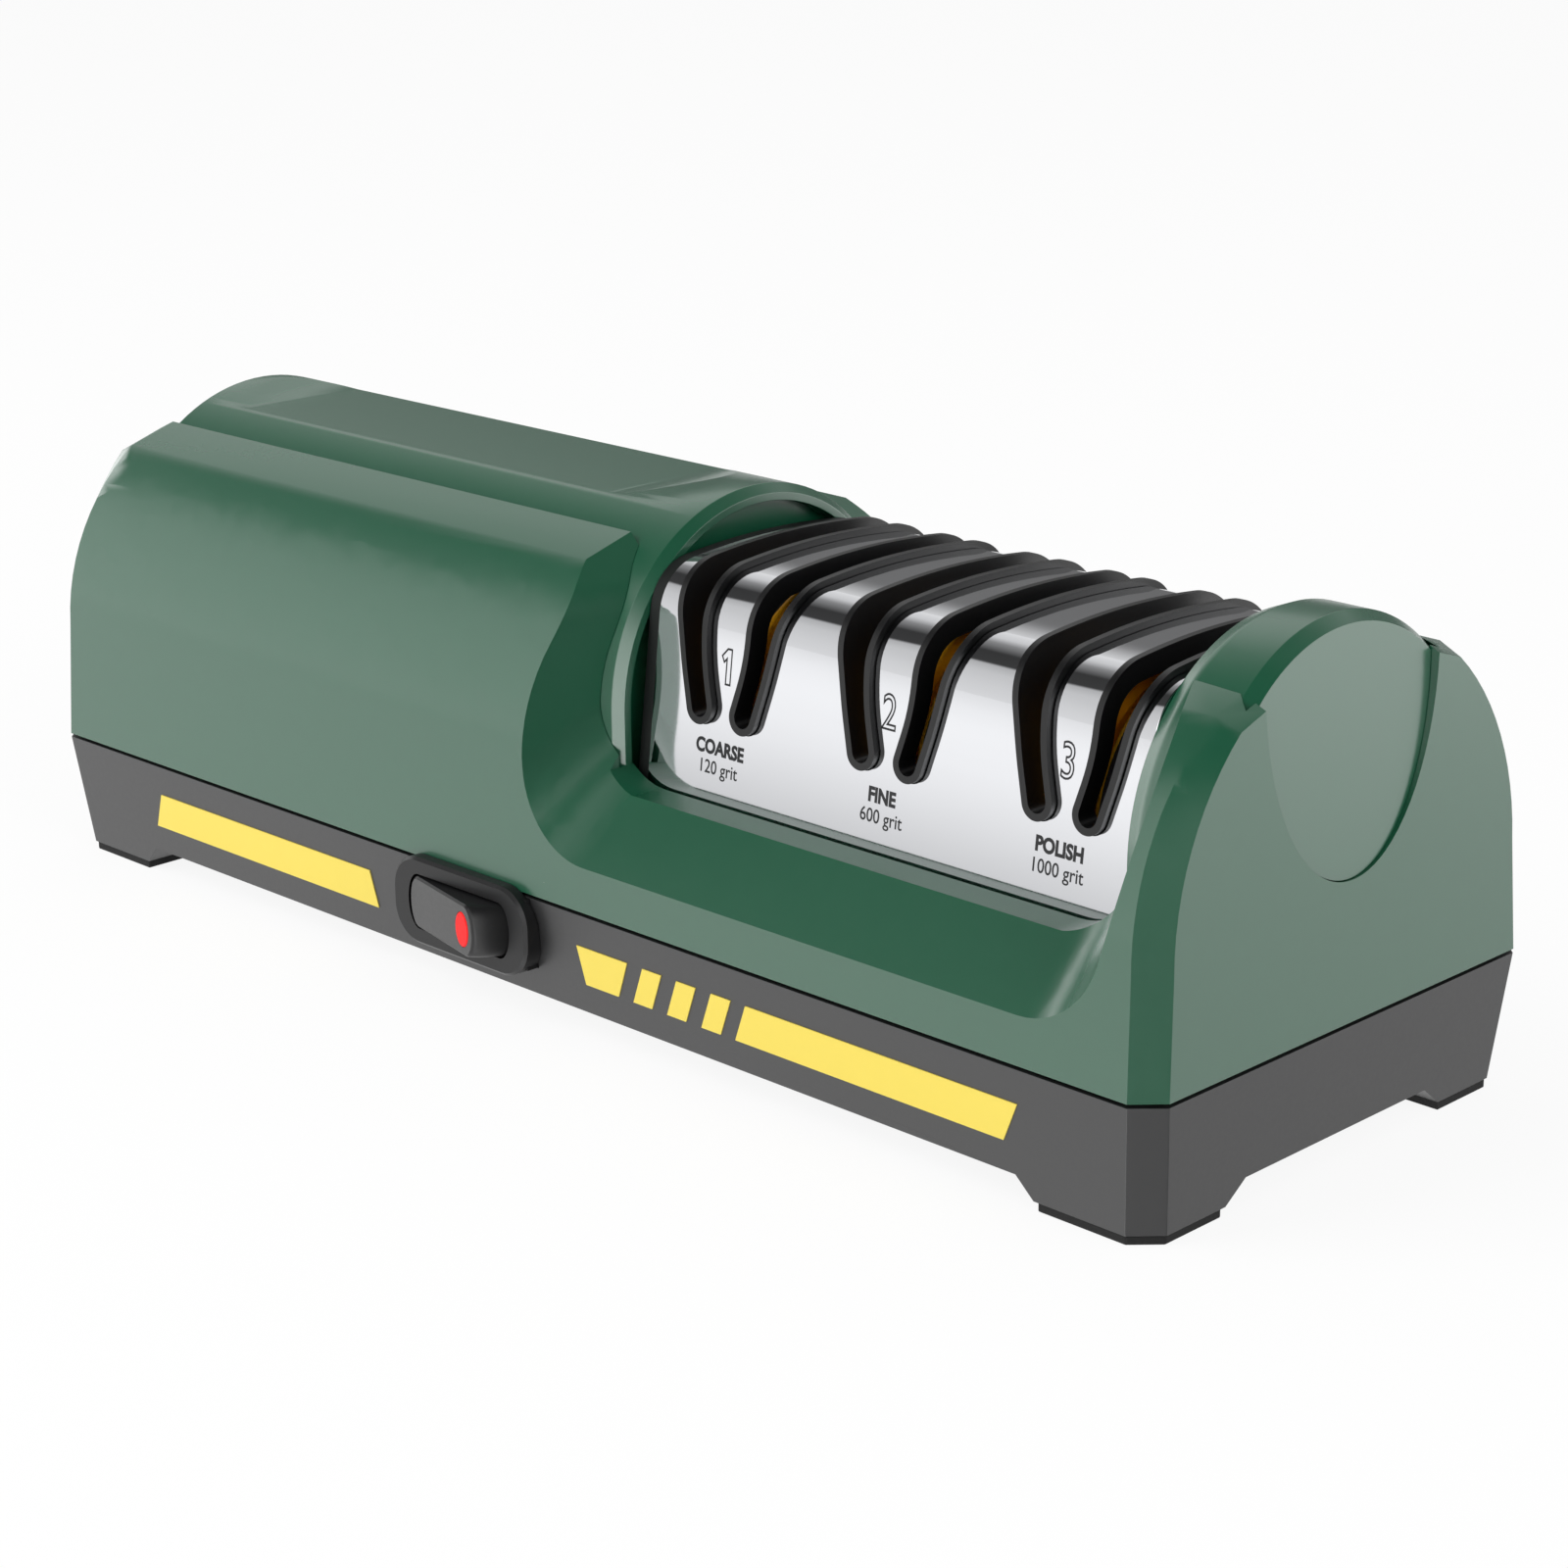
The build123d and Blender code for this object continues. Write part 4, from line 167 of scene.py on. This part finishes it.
# ---- Stainless cover -------------------------------------------------------
# A polished stainless sheet, 0.8 mm thick, bent over the grinding stages and
# pierced by the six knife slots. Its left end is painted near-black: painted
# shade where the sheet runs into the recessed end wall.
polished_steel = add_grain(new_material("polished_steel", (222, 223, 226), roughness=0.06, metallic=1.0),
                           scale=500, height=2e-7, roughness_spread=0.012, stretch=(0.03, 1, 1))
steel_sheet = eased_piece("stainless_cover", "housing", polished_steel, 0.12 * MM)
# Near-black on the sheet's own faces at its left end: painted shade of the recess there.
painted_end_shade = add_grain(new_material("painted_end_shade", (16, 19, 18), roughness=0.5),
                        scale=1500, height=6e-6, roughness_spread=0.05)
PAINTED_SHADE_END_X = 11.3 * MM
steel_sheet.data.materials.append(painted_end_shade)
# Faces left of the cut take the painted shade.
work = bmesh.new()
work.from_mesh(steel_sheet.data)
bmesh.ops.bisect_plane(work, geom=work.verts[:] + work.edges[:] + work.faces[:],
                       plane_co=(PAINTED_SHADE_END_X, 0, 0), plane_no=(1, 0, 0))
for face in work.faces:
    if face.calc_center_median().x < PAINTED_SHADE_END_X:
        face.material_index = 1
work.to_mesh(steel_sheet.data)
work.free()


# ---- Printed marks ---------------------------------------------------------
# Stage numbers, words and grit sizes, screen-printed in dark grey on the leaning
# front of the stainless cover, between and under each pair of slots.
printing_ink = add_grain(new_material("printing_ink", (34, 34, 36), roughness=0.5),
                         scale=2500, height=4e-6, roughness_spread=0.05)
STEEL_LEAN = radians(7.0)
STEEL_BEND_Y = -24.137
STEEL_BEND_Z = 64.436
INK_THICKNESS = 0.02
CAP_SHARE = 0.729
CURVE_STEPS = 4


def printed_mark(name, words, centre_x, base_z, cap_height, narrowing, weight=0.0, outline=0.0, corners=()):
    """Lettering on the leaning steel: up the letters runs up the slope, their depth along its normal."""
    text = bpy.data.curves.new(name, "CURVE" if corners else "FONT")
    if corners:
        text.dimensions = "2D"
        line = text.splines.new("POLY")
        line.points.add(len(corners) - 1)
        line.points.foreach_set("co", [v for x, y in corners for v in (x, y, 0, 1)])
        line.use_cyclic_u = True
    else:
        text.body = words
        text.size = cap_height / CAP_SHARE
        text.align_x = "CENTER"
        text.offset = weight
    text.resolution_u = CURVE_STEPS
    if outline:
        text.fill_mode = "NONE"
        text.bevel_depth = outline
        text.bevel_resolution = 1
    else:
        text.extrude = INK_THICKNESS / 2
    source = bpy.data.objects.new(name, text)
    scene.collection.objects.link(source)
    mesh = bpy.data.meshes.new_from_object(source)
    bpy.data.objects.remove(source)
    points = np.empty(3 * len(mesh.vertices))
    mesh.vertices.foreach_get("co", points)
    across, upward, depth = points.reshape(-1, 3).T
    if outline:
        depth = depth * INK_THICKNESS / (2 * outline)
    middle = (across.min() + across.max()) / 2
    slope_z = base_z + upward * cos(STEEL_LEAN) + depth * sin(STEEL_LEAN)
    slope_y = (STEEL_BEND_Y - (STEEL_BEND_Z - base_z - upward * cos(STEEL_LEAN)) * tan(STEEL_LEAN)
               - (depth + INK_THICKNESS / 2) * cos(STEEL_LEAN))
    placed = np.stack([centre_x + (across - middle) * narrowing, slope_y, slope_z], axis=1) * MM
    mesh.vertices.foreach_set("co", placed.ravel())
    mesh.update()
    mesh.name = name
    mesh.materials.clear()
    mesh.materials.append(printing_ink)
    mark = bpy.data.objects.new(name, mesh)
    scene.collection.objects.link(mark)
    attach(mark, "housing")


STAGE_CENTRES = (27.0, 60.65, 94.3)
STAGE_WORDS = ("COARSE", "FINE", "POLISH")
STAGE_GRITS = ("120 grit", "600 grit", "1000 grit")
FLAGGED_ONE = ((0, 4.2), (1.4, 5.4), (2.5, 5.4), (2.5, 0), (1.3, 0), (1.3, 3.9), (0.6, 3.3))
for number, (centre, word, grit) in enumerate(zip(STAGE_CENTRES, STAGE_WORDS, STAGE_GRITS), start=1):
    printed_mark(f"stage_number_{number}", str(number), centre_x=centre - 0.55, base_z=56.3, cap_height=5.4,
                 narrowing=0.8, outline=0.16, corners=FLAGGED_ONE if number == 1 else ())
    printed_mark(f"stage_word_{number}", word, centre_x=centre - 0.6, base_z=45.35, cap_height=2.2,
                 narrowing=0.9, weight=0.13)
    printed_mark(f"stage_grit_{number}", grit, centre_x=centre - 0.5, base_z=42.3, cap_height=2.15,
                 narrowing=0.9, weight=0.02)


# ---- Blade guides ----------------------------------------------------------
# Black moulded nylon: a plate behind the steel, a raised rim through each slot
# and a slanted wall that sets the blade's angle. Their bevelled edges are a
# lighter grey: a painted highlight along the rims.
guide_plastic = add_grain(new_material("guide_plastic", (13, 13, 14), roughness=0.36, ior=1.55),
                          scale=1400, height=2e-6, roughness_spread=0.04)
# Lighter grey for the guides' bevelled edges: a painted highlight along the rims.
painted_edge_highlight = add_grain(new_material("painted_edge_highlight", (86, 87, 90), roughness=0.3),
                      scale=1400, height=2e-6, roughness_spread=0.04)
for number in (1, 2, 3):
    guide = eased_piece(f"stage{number}_guide", "housing", guide_plastic, 0.17 * MM)
    guide.data.materials.append(painted_edge_highlight)
    # The bevel's faces take the second material, the painted highlight.
    guide.modifiers["eased_edges"].material = 1


# ---- Grinding wheels -------------------------------------------------------
# Amber plastic cups with a ring of bonded abrasive on the outer face of each,
# keyed to the spindle and pushed apart by a short spring.
amber_plastic = add_grain(new_material("amber_plastic", (250, 178, 24), roughness=0.3, coat=0.3),
                          scale=700, height=2e-6, roughness_spread=0.03)
grit_coating = add_grain(new_material("grit_coating", (30, 28, 28), roughness=0.7),
                         scale=2600, height=1.2e-4, roughness_spread=0.15, colour_spread=0.5)
AXIS_Z = 47.0
WHEEL_RADIUS = 21.8
COAT_FRONT = 3.8        # from the stage's centre
COAT_BACK = 2.2
COAT_SINK = 0.05        # into the wheel
COAT_RISE = 0.06        # above its rim
COAT_SIDES = 96
COAT_SHARP_FROM = radians(30)


def rim_coat(wheel, centre, side):
    """The abrasive that laps over a wheel's rim: a rectangle's four corners, each carried round the axis."""
    front_x = centre + side * COAT_FRONT
    back_x = centre + side * COAT_BACK
    inside = WHEEL_RADIUS - COAT_SINK
    outside = WHEEL_RADIUS + COAT_RISE
    along = np.repeat([front_x, front_x, back_x, back_x], COAT_SIDES)
    radius = np.repeat([inside, outside, outside, inside], COAT_SIDES)
    turn = np.tile(np.linspace(0, 2 * pi, COAT_SIDES, endpoint=False), 4)
    points = np.stack([along, radius * np.cos(turn), AXIS_Z + radius * np.sin(turn)], axis=1) * MM
    here = np.arange(len(points)).reshape(4, COAT_SIDES)
    after = np.roll(here, -1, axis=1)
    next_ring = np.roll(here, -1, axis=0)
    next_after = np.roll(after, -1, axis=0)
    quads = np.stack([here, after, next_after, next_ring], axis=2).reshape(-1, 4)
    mesh = bpy.data.meshes.new(f"{wheel}_rim_coat")
    mesh.from_pydata(points.tolist(), [], (quads if side < 0 else quads[:, ::-1]).tolist())
    mesh.shade_smooth()
    mesh.set_sharp_from_angle(angle=COAT_SHARP_FROM)
    mesh.materials.append(grit_coating)
    coat = bpy.data.objects.new(mesh.name, mesh)
    scene.collection.objects.link(coat)
    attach(coat, f"{wheel}_wheel")


for number, centre in enumerate(STAGE_CENTRES, start=1):
    for side_name, side in (("left", -1), ("right", 1)):
        wheel = f"stage{number}_{side_name}"
        eased_piece(f"{wheel}_disc", f"{wheel}_wheel", amber_plastic, 0.2 * MM)
        eased_piece(f"{wheel}_grit", f"{wheel}_wheel", grit_coating, 0.0)
        rim_coat(wheel, centre, side)


# ---- Tray ------------------------------------------------------------------
# The dark grey tray that carries everything, in fine-textured ABS, with four
# feet, cooling slots under the motor and a locating lip inside the housing.
tray_plastic = add_grain(new_material("tray_plastic", (34, 34, 35), roughness=0.42, ior=1.9),
                         scale=1300, height=8e-6, roughness_spread=0.06, colour_spread=0.06)
eased_piece("base_tray", "housing", tray_plastic, 0.3 * MM)

pad_rubber = add_grain(new_material("pad_rubber", (28, 28, 28), roughness=0.8),
                       scale=1800, height=1e-5, roughness_spread=0.05)
for pad in ("front_left", "front_right", "rear_left", "rear_right"):
    eased_piece(f"pad_{pad}", "housing", pad_rubber, 0.25 * MM)


# ---- Switch ----------------------------------------------------------------
# A black rocker in an oval bezel on the front of the tray. The rocker's right
# end stands out at rest and carries a small red light.
switch_plastic = add_grain(new_material("switch_plastic", (26, 26, 27), roughness=0.38),
                           scale=1500, height=5e-6, roughness_spread=0.05)
eased_piece("switch_bezel", "housing", switch_plastic, 0.35 * MM)
eased_piece("rocker", "rocker", switch_plastic, 0.3 * MM)

light_lens = new_material("light_lens", (226, 10, 14), roughness=0.5, specular=0.2)
lens_shader = light_lens.node_tree.nodes["Principled BSDF"]
lens_shader.inputs["Emission Color"].default_value = (1.0, 0.02, 0.02, 1)
lens_shader.inputs["Emission Strength"].default_value = 0.3
eased_piece("led_lens", "rocker", light_lens, 0.2 * MM)


# ---- Labels ----------------------------------------------------------------
# Printed yellow vinyl on the tray's front: a strip, a wedge, three slanted
# bars and a longer strip. All are bare.
label_print = add_grain(new_material("label_print", (253, 228, 96), roughness=0.45),
                        scale=1200, height=3e-6, roughness_spread=0.04)
for label in ("strip_left", "wedge", "bars", "strip_right"):
    eased_piece(f"label_{label}", "housing", label_print, 0.0)


# ---- Power inlet -----------------------------------------------------------
# A black socket with two round pins at the back of the tray, for a removable
# mains lead.
eased_piece("power_inlet", "housing", switch_plastic, 0.25 * MM)


def dress(material, *nodes):
    """Give the nodes that stay as they are a material of their own."""
    for node in nodes:
        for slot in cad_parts[node].material_slots:
            slot.material = material


brass_contact = add_grain(new_material("brass_contact", (214, 176, 96), roughness=0.28, metallic=1.0),
                          scale=900, height=2e-6, roughness_spread=0.06)
dress(brass_contact, "inlet_pins", "switch_tabs")
dress(switch_plastic, "switch_body")


# ---- Spindle line ----------------------------------------------------------
# A turned steel spindle with retaining rings, three short coil springs, and a
# moulded coupling on the motor's shaft. It runs in two sintered bronze bushes.
turned_steel = add_grain(new_material("turned_steel", (186, 188, 192), roughness=0.28, metallic=1.0),
                         scale=600, height=6e-6, roughness_spread=0.08, colour_spread=0.05,
                         stretch=(12, 1, 1))
dress(turned_steel, "spindle", "retaining_rings")
spring_steel = add_grain(new_material("spring_steel", (150, 152, 156), roughness=0.22, metallic=1.0),
                         scale=2200, height=2e-6, roughness_spread=0.06)


def half_spring(number, centre, side_name, side):
    """One half of a stage's spring, cut at the stage's centre."""
    half = eased_piece(f"stage{number}_spring", "spindle", spring_steel, 0.0)
    half.name = f"stage{number}_{side_name}_half_spring"
    middle = (centre * MM, 0, AXIS_Z * MM)
    work = bmesh.new()
    work.from_mesh(half.data)
    cut = bmesh.ops.bisect_plane(work, geom=work.verts[:] + work.edges[:] + work.faces[:], plane_co=middle,
                                 plane_no=(side, 0, 0), clear_inner=True)
    edges = [piece for piece in cut["geom_cut"] if isinstance(piece, bmesh.types.BMEdge)]
    bmesh.ops.holes_fill(work, edges=edges)
    work.to_mesh(half.data)
    work.free()
    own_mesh(half)


for number, centre in enumerate(STAGE_CENTRES, start=1):
    half_spring(number, centre, "left", -1)
    half_spring(number, centre, "right", 1)

sintered_bronze = add_grain(new_material("sintered_bronze", (184, 140, 84), roughness=0.45, metallic=1.0),
                            scale=1800, height=1.5e-5, roughness_spread=0.1, colour_spread=0.12)
dress(sintered_bronze, "left_bearing", "right_bearing")
natural_nylon = add_grain(new_material("natural_nylon", (226, 222, 208), roughness=0.5),
                          scale=900, height=8e-6, roughness_spread=0.06, colour_spread=0.03)
dress(natural_nylon, "coupling", "left_bracket", "right_bracket", "motor_cradle", "motor_rear_cap", "fan")
plated_steel = add_grain(new_material("plated_steel", (176, 178, 182), roughness=0.34, metallic=1.0),
                         scale=700, height=5e-6, roughness_spread=0.1, colour_spread=0.06)
dress(plated_steel, "case_screws", "bracket_screws", "motor_can")


# ---- Motor -----------------------------------------------------------------
# A small mains motor on rectified current: a plated can with two ferrite
# magnets, a laminated core on the shaft, and a copper commutator.
ferrite = add_grain(new_material("ferrite", (58, 58, 61), roughness=0.6),
                    scale=1500, height=1.2e-5, roughness_spread=0.08, colour_spread=0.15)
dress(ferrite, "motor_magnets")
core_steel = add_grain(new_material("core_steel", (120, 122, 126), roughness=0.45, metallic=1.0),
                       scale=300, height=3e-5, roughness_spread=0.1, colour_spread=0.2, stretch=(9, 0.2, 0.2))
dress(core_steel, "rotor")
bar_copper = add_grain(new_material("bar_copper", (200, 124, 84), roughness=0.3, metallic=1.0),
                       scale=800, height=4e-6, roughness_spread=0.1, colour_spread=0.1)
dress(bar_copper, "commutator")


# ---- Circuit board ---------------------------------------------------------
# A small green board at the left end of the tray, with a transformer, a
# capacitor and a relay.
board_laminate = add_grain(new_material("board_laminate", (28, 92, 52), roughness=0.4, coat=0.4),
                           scale=1600, height=4e-6, roughness_spread=0.05, colour_spread=0.12,
                           stretch=(1, 3, 1))
dress(board_laminate, "circuit_board")
component_case = add_grain(new_material("component_case", (44, 74, 128), roughness=0.42),
                           scale=1300, height=6e-6, roughness_spread=0.06, colour_spread=0.08)
dress(component_case, "board_parts")


# ---- Light, floor and camera -----------------------------------------------
# A pale studio: white surroundings, a dark ceiling seen only in reflections,
# two broad soft lamps, and the camera at the front right corner.
world = bpy.data.worlds.new("studio")
scene.world = world
world.use_nodes = True
tree = world.node_tree
tree.nodes.clear()
BRIGHTEST = 4.0


def sky_math(operation, *values):
    """A maths node in the sky: each value is a number or another node's output."""
    node = tree.nodes.new("ShaderNodeMath")
    node.operation = operation
    for socket, value in zip(node.inputs, values):
        if isinstance(value, (int, float)):
            socket.default_value = value
        else:
            tree.links.new(value, socket)
    return node.outputs["Value"]


def sky_bands(angle, stops):
    """Brightness against an angle in degrees: a ramp through (degrees, brightness) pairs."""
    place = sky_math("DIVIDE", sky_math("ADD", angle, pi), 2 * pi)
    ramp = tree.nodes.new("ShaderNodeValToRGB")
    elements = ramp.color_ramp.elements
    elements.remove(elements[1])
    for number, (degree, level) in enumerate(stops):
        position = (degree + 180) / 360
        element = elements.new(position) if number else elements[0]
        element.position = position
        element.color = (level / BRIGHTEST, level / BRIGHTEST, level / BRIGHTEST, 1)
    tree.links.new(place, ramp.inputs["Fac"])
    return sky_math("MULTIPLY", ramp.outputs["Color"], BRIGHTEST)


def sky_step(value, low, high):
    """A soft step that rises from 0 at low to 1 at high."""
    step = tree.nodes.new("ShaderNodeMapRange")
    step.interpolation_type = "SMOOTHSTEP"
    step.inputs["From Min"].default_value = low
    step.inputs["From Max"].default_value = high
    tree.links.new(value, step.inputs["Value"])
    return step.outputs["Result"]


def sky_mix(factor, first, second):
    """The first level where factor is 0 and the second where it is 1."""
    return sky_math("ADD", sky_math("MULTIPLY", first, sky_math("SUBTRACT", 1.0, factor)),
                    sky_math("MULTIPLY", second, factor))


direction = tree.nodes.new("ShaderNodeTexCoord").outputs["Generated"]
split = tree.nodes.new("ShaderNodeSeparateXYZ")
tree.links.new(direction, split.inputs["Vector"])
to_right, to_back, up = split.outputs["X"], split.outputs["Y"], split.outputs["Z"]
to_front = sky_math("MULTIPLY", to_back, -1.0)
over = sky_math("ARCTAN2", up, to_front)
around = sky_math("ARCTAN2", to_right, to_front)
height = sky_math("ARCSINE", up)
left_side = sky_bands(over, ((-60, 1.15), (-22, 1.1), (-13, 0.8), (-7, 1.12), (12, 1.05), (41, 0.9),
                             (56, 0.7), (60, 0.07), (84, 0.06), (107, 0.4), (122, 0.95), (146, 1.15),
                             (151, 0.24), (179, 0.2)))
STEEL_GLOW = 0.5
steel_band = sky_math("SUBTRACT", sky_step(over, low=radians(-12.4), high=radians(-8.6)),
                      sky_step(over, low=radians(-7.72), high=radians(-7.6)))
steel_band = sky_math("MAXIMUM", steel_band, 0.0)
left_side = sky_math("ADD", left_side, sky_math("MULTIPLY", steel_band, STEEL_GLOW))
right_front = sky_bands(around, ((-5, 0.9), (4, 0.9), (9, 3.2), (36, 3.2), (42, 0.08), (100, 0.05),
                                 (114, 0.5), (122, 1.0), (179, 1.0)))
right_back = sky_bands(height, ((-40, 0.8), (-15, 0.95), (-13, 1.3), (-11.5, 2.2), (8, 2.2), (30, 0.5),
                                (60, 0.1)))
behind = sky_step(around, low=radians(104), high=radians(118))
low_enough = sky_math("SUBTRACT", 1.0, sky_step(up, low=0.3, high=0.8))
right_side = sky_mix(behind, sky_math("MULTIPLY", right_front, low_enough), right_back)
FAR_LEFT_LIGHT = 2.4
far_left = sky_step(sky_math("MULTIPLY", to_right, -1.0), low=0.86, high=0.92)
left_side = sky_mix(far_left, left_side, FAR_LEFT_LIGHT)
studio = sky_mix(sky_step(to_right, low=-0.12, high=0.12), left_side, right_side)

SOFT_LIGHT = 0.72
WHITE = 1.0
path = tree.nodes.new("ShaderNodeLightPath")
level = sky_mix(path.outputs["Is Glossy Ray"], SOFT_LIGHT, studio)
level = sky_mix(path.outputs["Is Camera Ray"], level, WHITE)
background = tree.nodes.new("ShaderNodeBackground")
tree.links.new(level, background.inputs["Strength"])
output = tree.nodes.new("ShaderNodeOutputWorld")
tree.links.new(background.outputs["Background"], output.inputs["Surface"])

FLOOR_HALF = 3.0
FLOOR_GLOW_SHARE = 0.9
floor_mesh = bpy.data.meshes.new("floor")
floor_mesh.from_pydata([(-FLOOR_HALF, -FLOOR_HALF, 0), (FLOOR_HALF, -FLOOR_HALF, 0),
                        (FLOOR_HALF, FLOOR_HALF, 0), (-FLOOR_HALF, FLOOR_HALF, 0)], [], [(0, 1, 2, 3)])
floor = bpy.data.objects.new("floor", floor_mesh)
scene.collection.objects.link(floor)
floor.visible_glossy = False
pale_floor = new_material("pale_floor", (250, 250, 250), roughness=0.9, specular=0.0)
floor_tree = pale_floor.node_tree
seen_floor = floor_tree.nodes.new("ShaderNodeMixShader")
floor_glow = floor_tree.nodes.new("ShaderNodeEmission")
floor_path = floor_tree.nodes.new("ShaderNodeLightPath")
floor_share = floor_tree.nodes.new("ShaderNodeMath")
floor_share.operation = "MULTIPLY"
floor_share.inputs[1].default_value = FLOOR_GLOW_SHARE
floor_tree.links.new(floor_path.outputs["Is Camera Ray"], floor_share.inputs[0])
floor_tree.links.new(floor_share.outputs["Value"], seen_floor.inputs["Fac"])
floor_tree.links.new(floor_tree.nodes["Principled BSDF"].outputs["BSDF"], seen_floor.inputs[1])
floor_tree.links.new(floor_glow.outputs["Emission"], seen_floor.inputs[2])
floor_tree.links.new(seen_floor.outputs["Shader"], floor_tree.nodes["Material Output"].inputs["Surface"])
floor_mesh.materials.append(pale_floor)


def soft_lamp(name, place, aim, size, power):
    """A square area lamp at place that points at aim."""
    lamp = bpy.data.objects.new(name, bpy.data.lights.new(name, "AREA"))
    lamp.data.shape = "SQUARE"
    lamp.data.size = size
    lamp.data.energy = power
    lamp.visible_glossy = False
    lamp.location = place
    lamp.rotation_euler = (Vector(aim) - Vector(place)).to_track_quat("-Z", "Y").to_euler()
    scene.collection.objects.link(lamp)


soft_lamp("key_lamp", place=(-0.5, -0.9, 0.9), aim=(0, 0, 0.03), size=0.8, power=9.0)
soft_lamp("fill_lamp", place=(1.2, -0.1, 0.7), aim=(0, 0, 0.04), size=0.7, power=5.0)

AZIMUTH = radians(43.524)
ELEVATION = radians(17.16)
DISTANCE = 535.494 * MM
TARGET = Vector((35.07, 0.0, 43.24)) * MM
FRAME_PIXELS = 1600
FOCAL_PIXELS = 3542.9
CENTRE_X = 900.4
CENTRE_Y = 758.5
SENSOR = 36.0
NEAREST_SEEN = 0.01
camera = bpy.data.objects.new("camera", bpy.data.cameras.new("camera"))
scene.collection.objects.link(camera)
back = Vector((sin(AZIMUTH) * cos(ELEVATION), -cos(AZIMUTH) * cos(ELEVATION), sin(ELEVATION)))
camera.location = TARGET + back * DISTANCE
camera.rotation_euler = Euler((pi / 2 - ELEVATION, 0, AZIMUTH))
camera.data.sensor_width = SENSOR
camera.data.lens = FOCAL_PIXELS / FRAME_PIXELS * SENSOR
camera.data.shift_x = (FRAME_PIXELS / 2 - CENTRE_X) / FRAME_PIXELS
camera.data.shift_y = (CENTRE_Y - FRAME_PIXELS / 2) / FRAME_PIXELS
camera.data.clip_start = NEAREST_SEEN
scene.camera = camera
scene.view_settings.view_transform = "Standard"
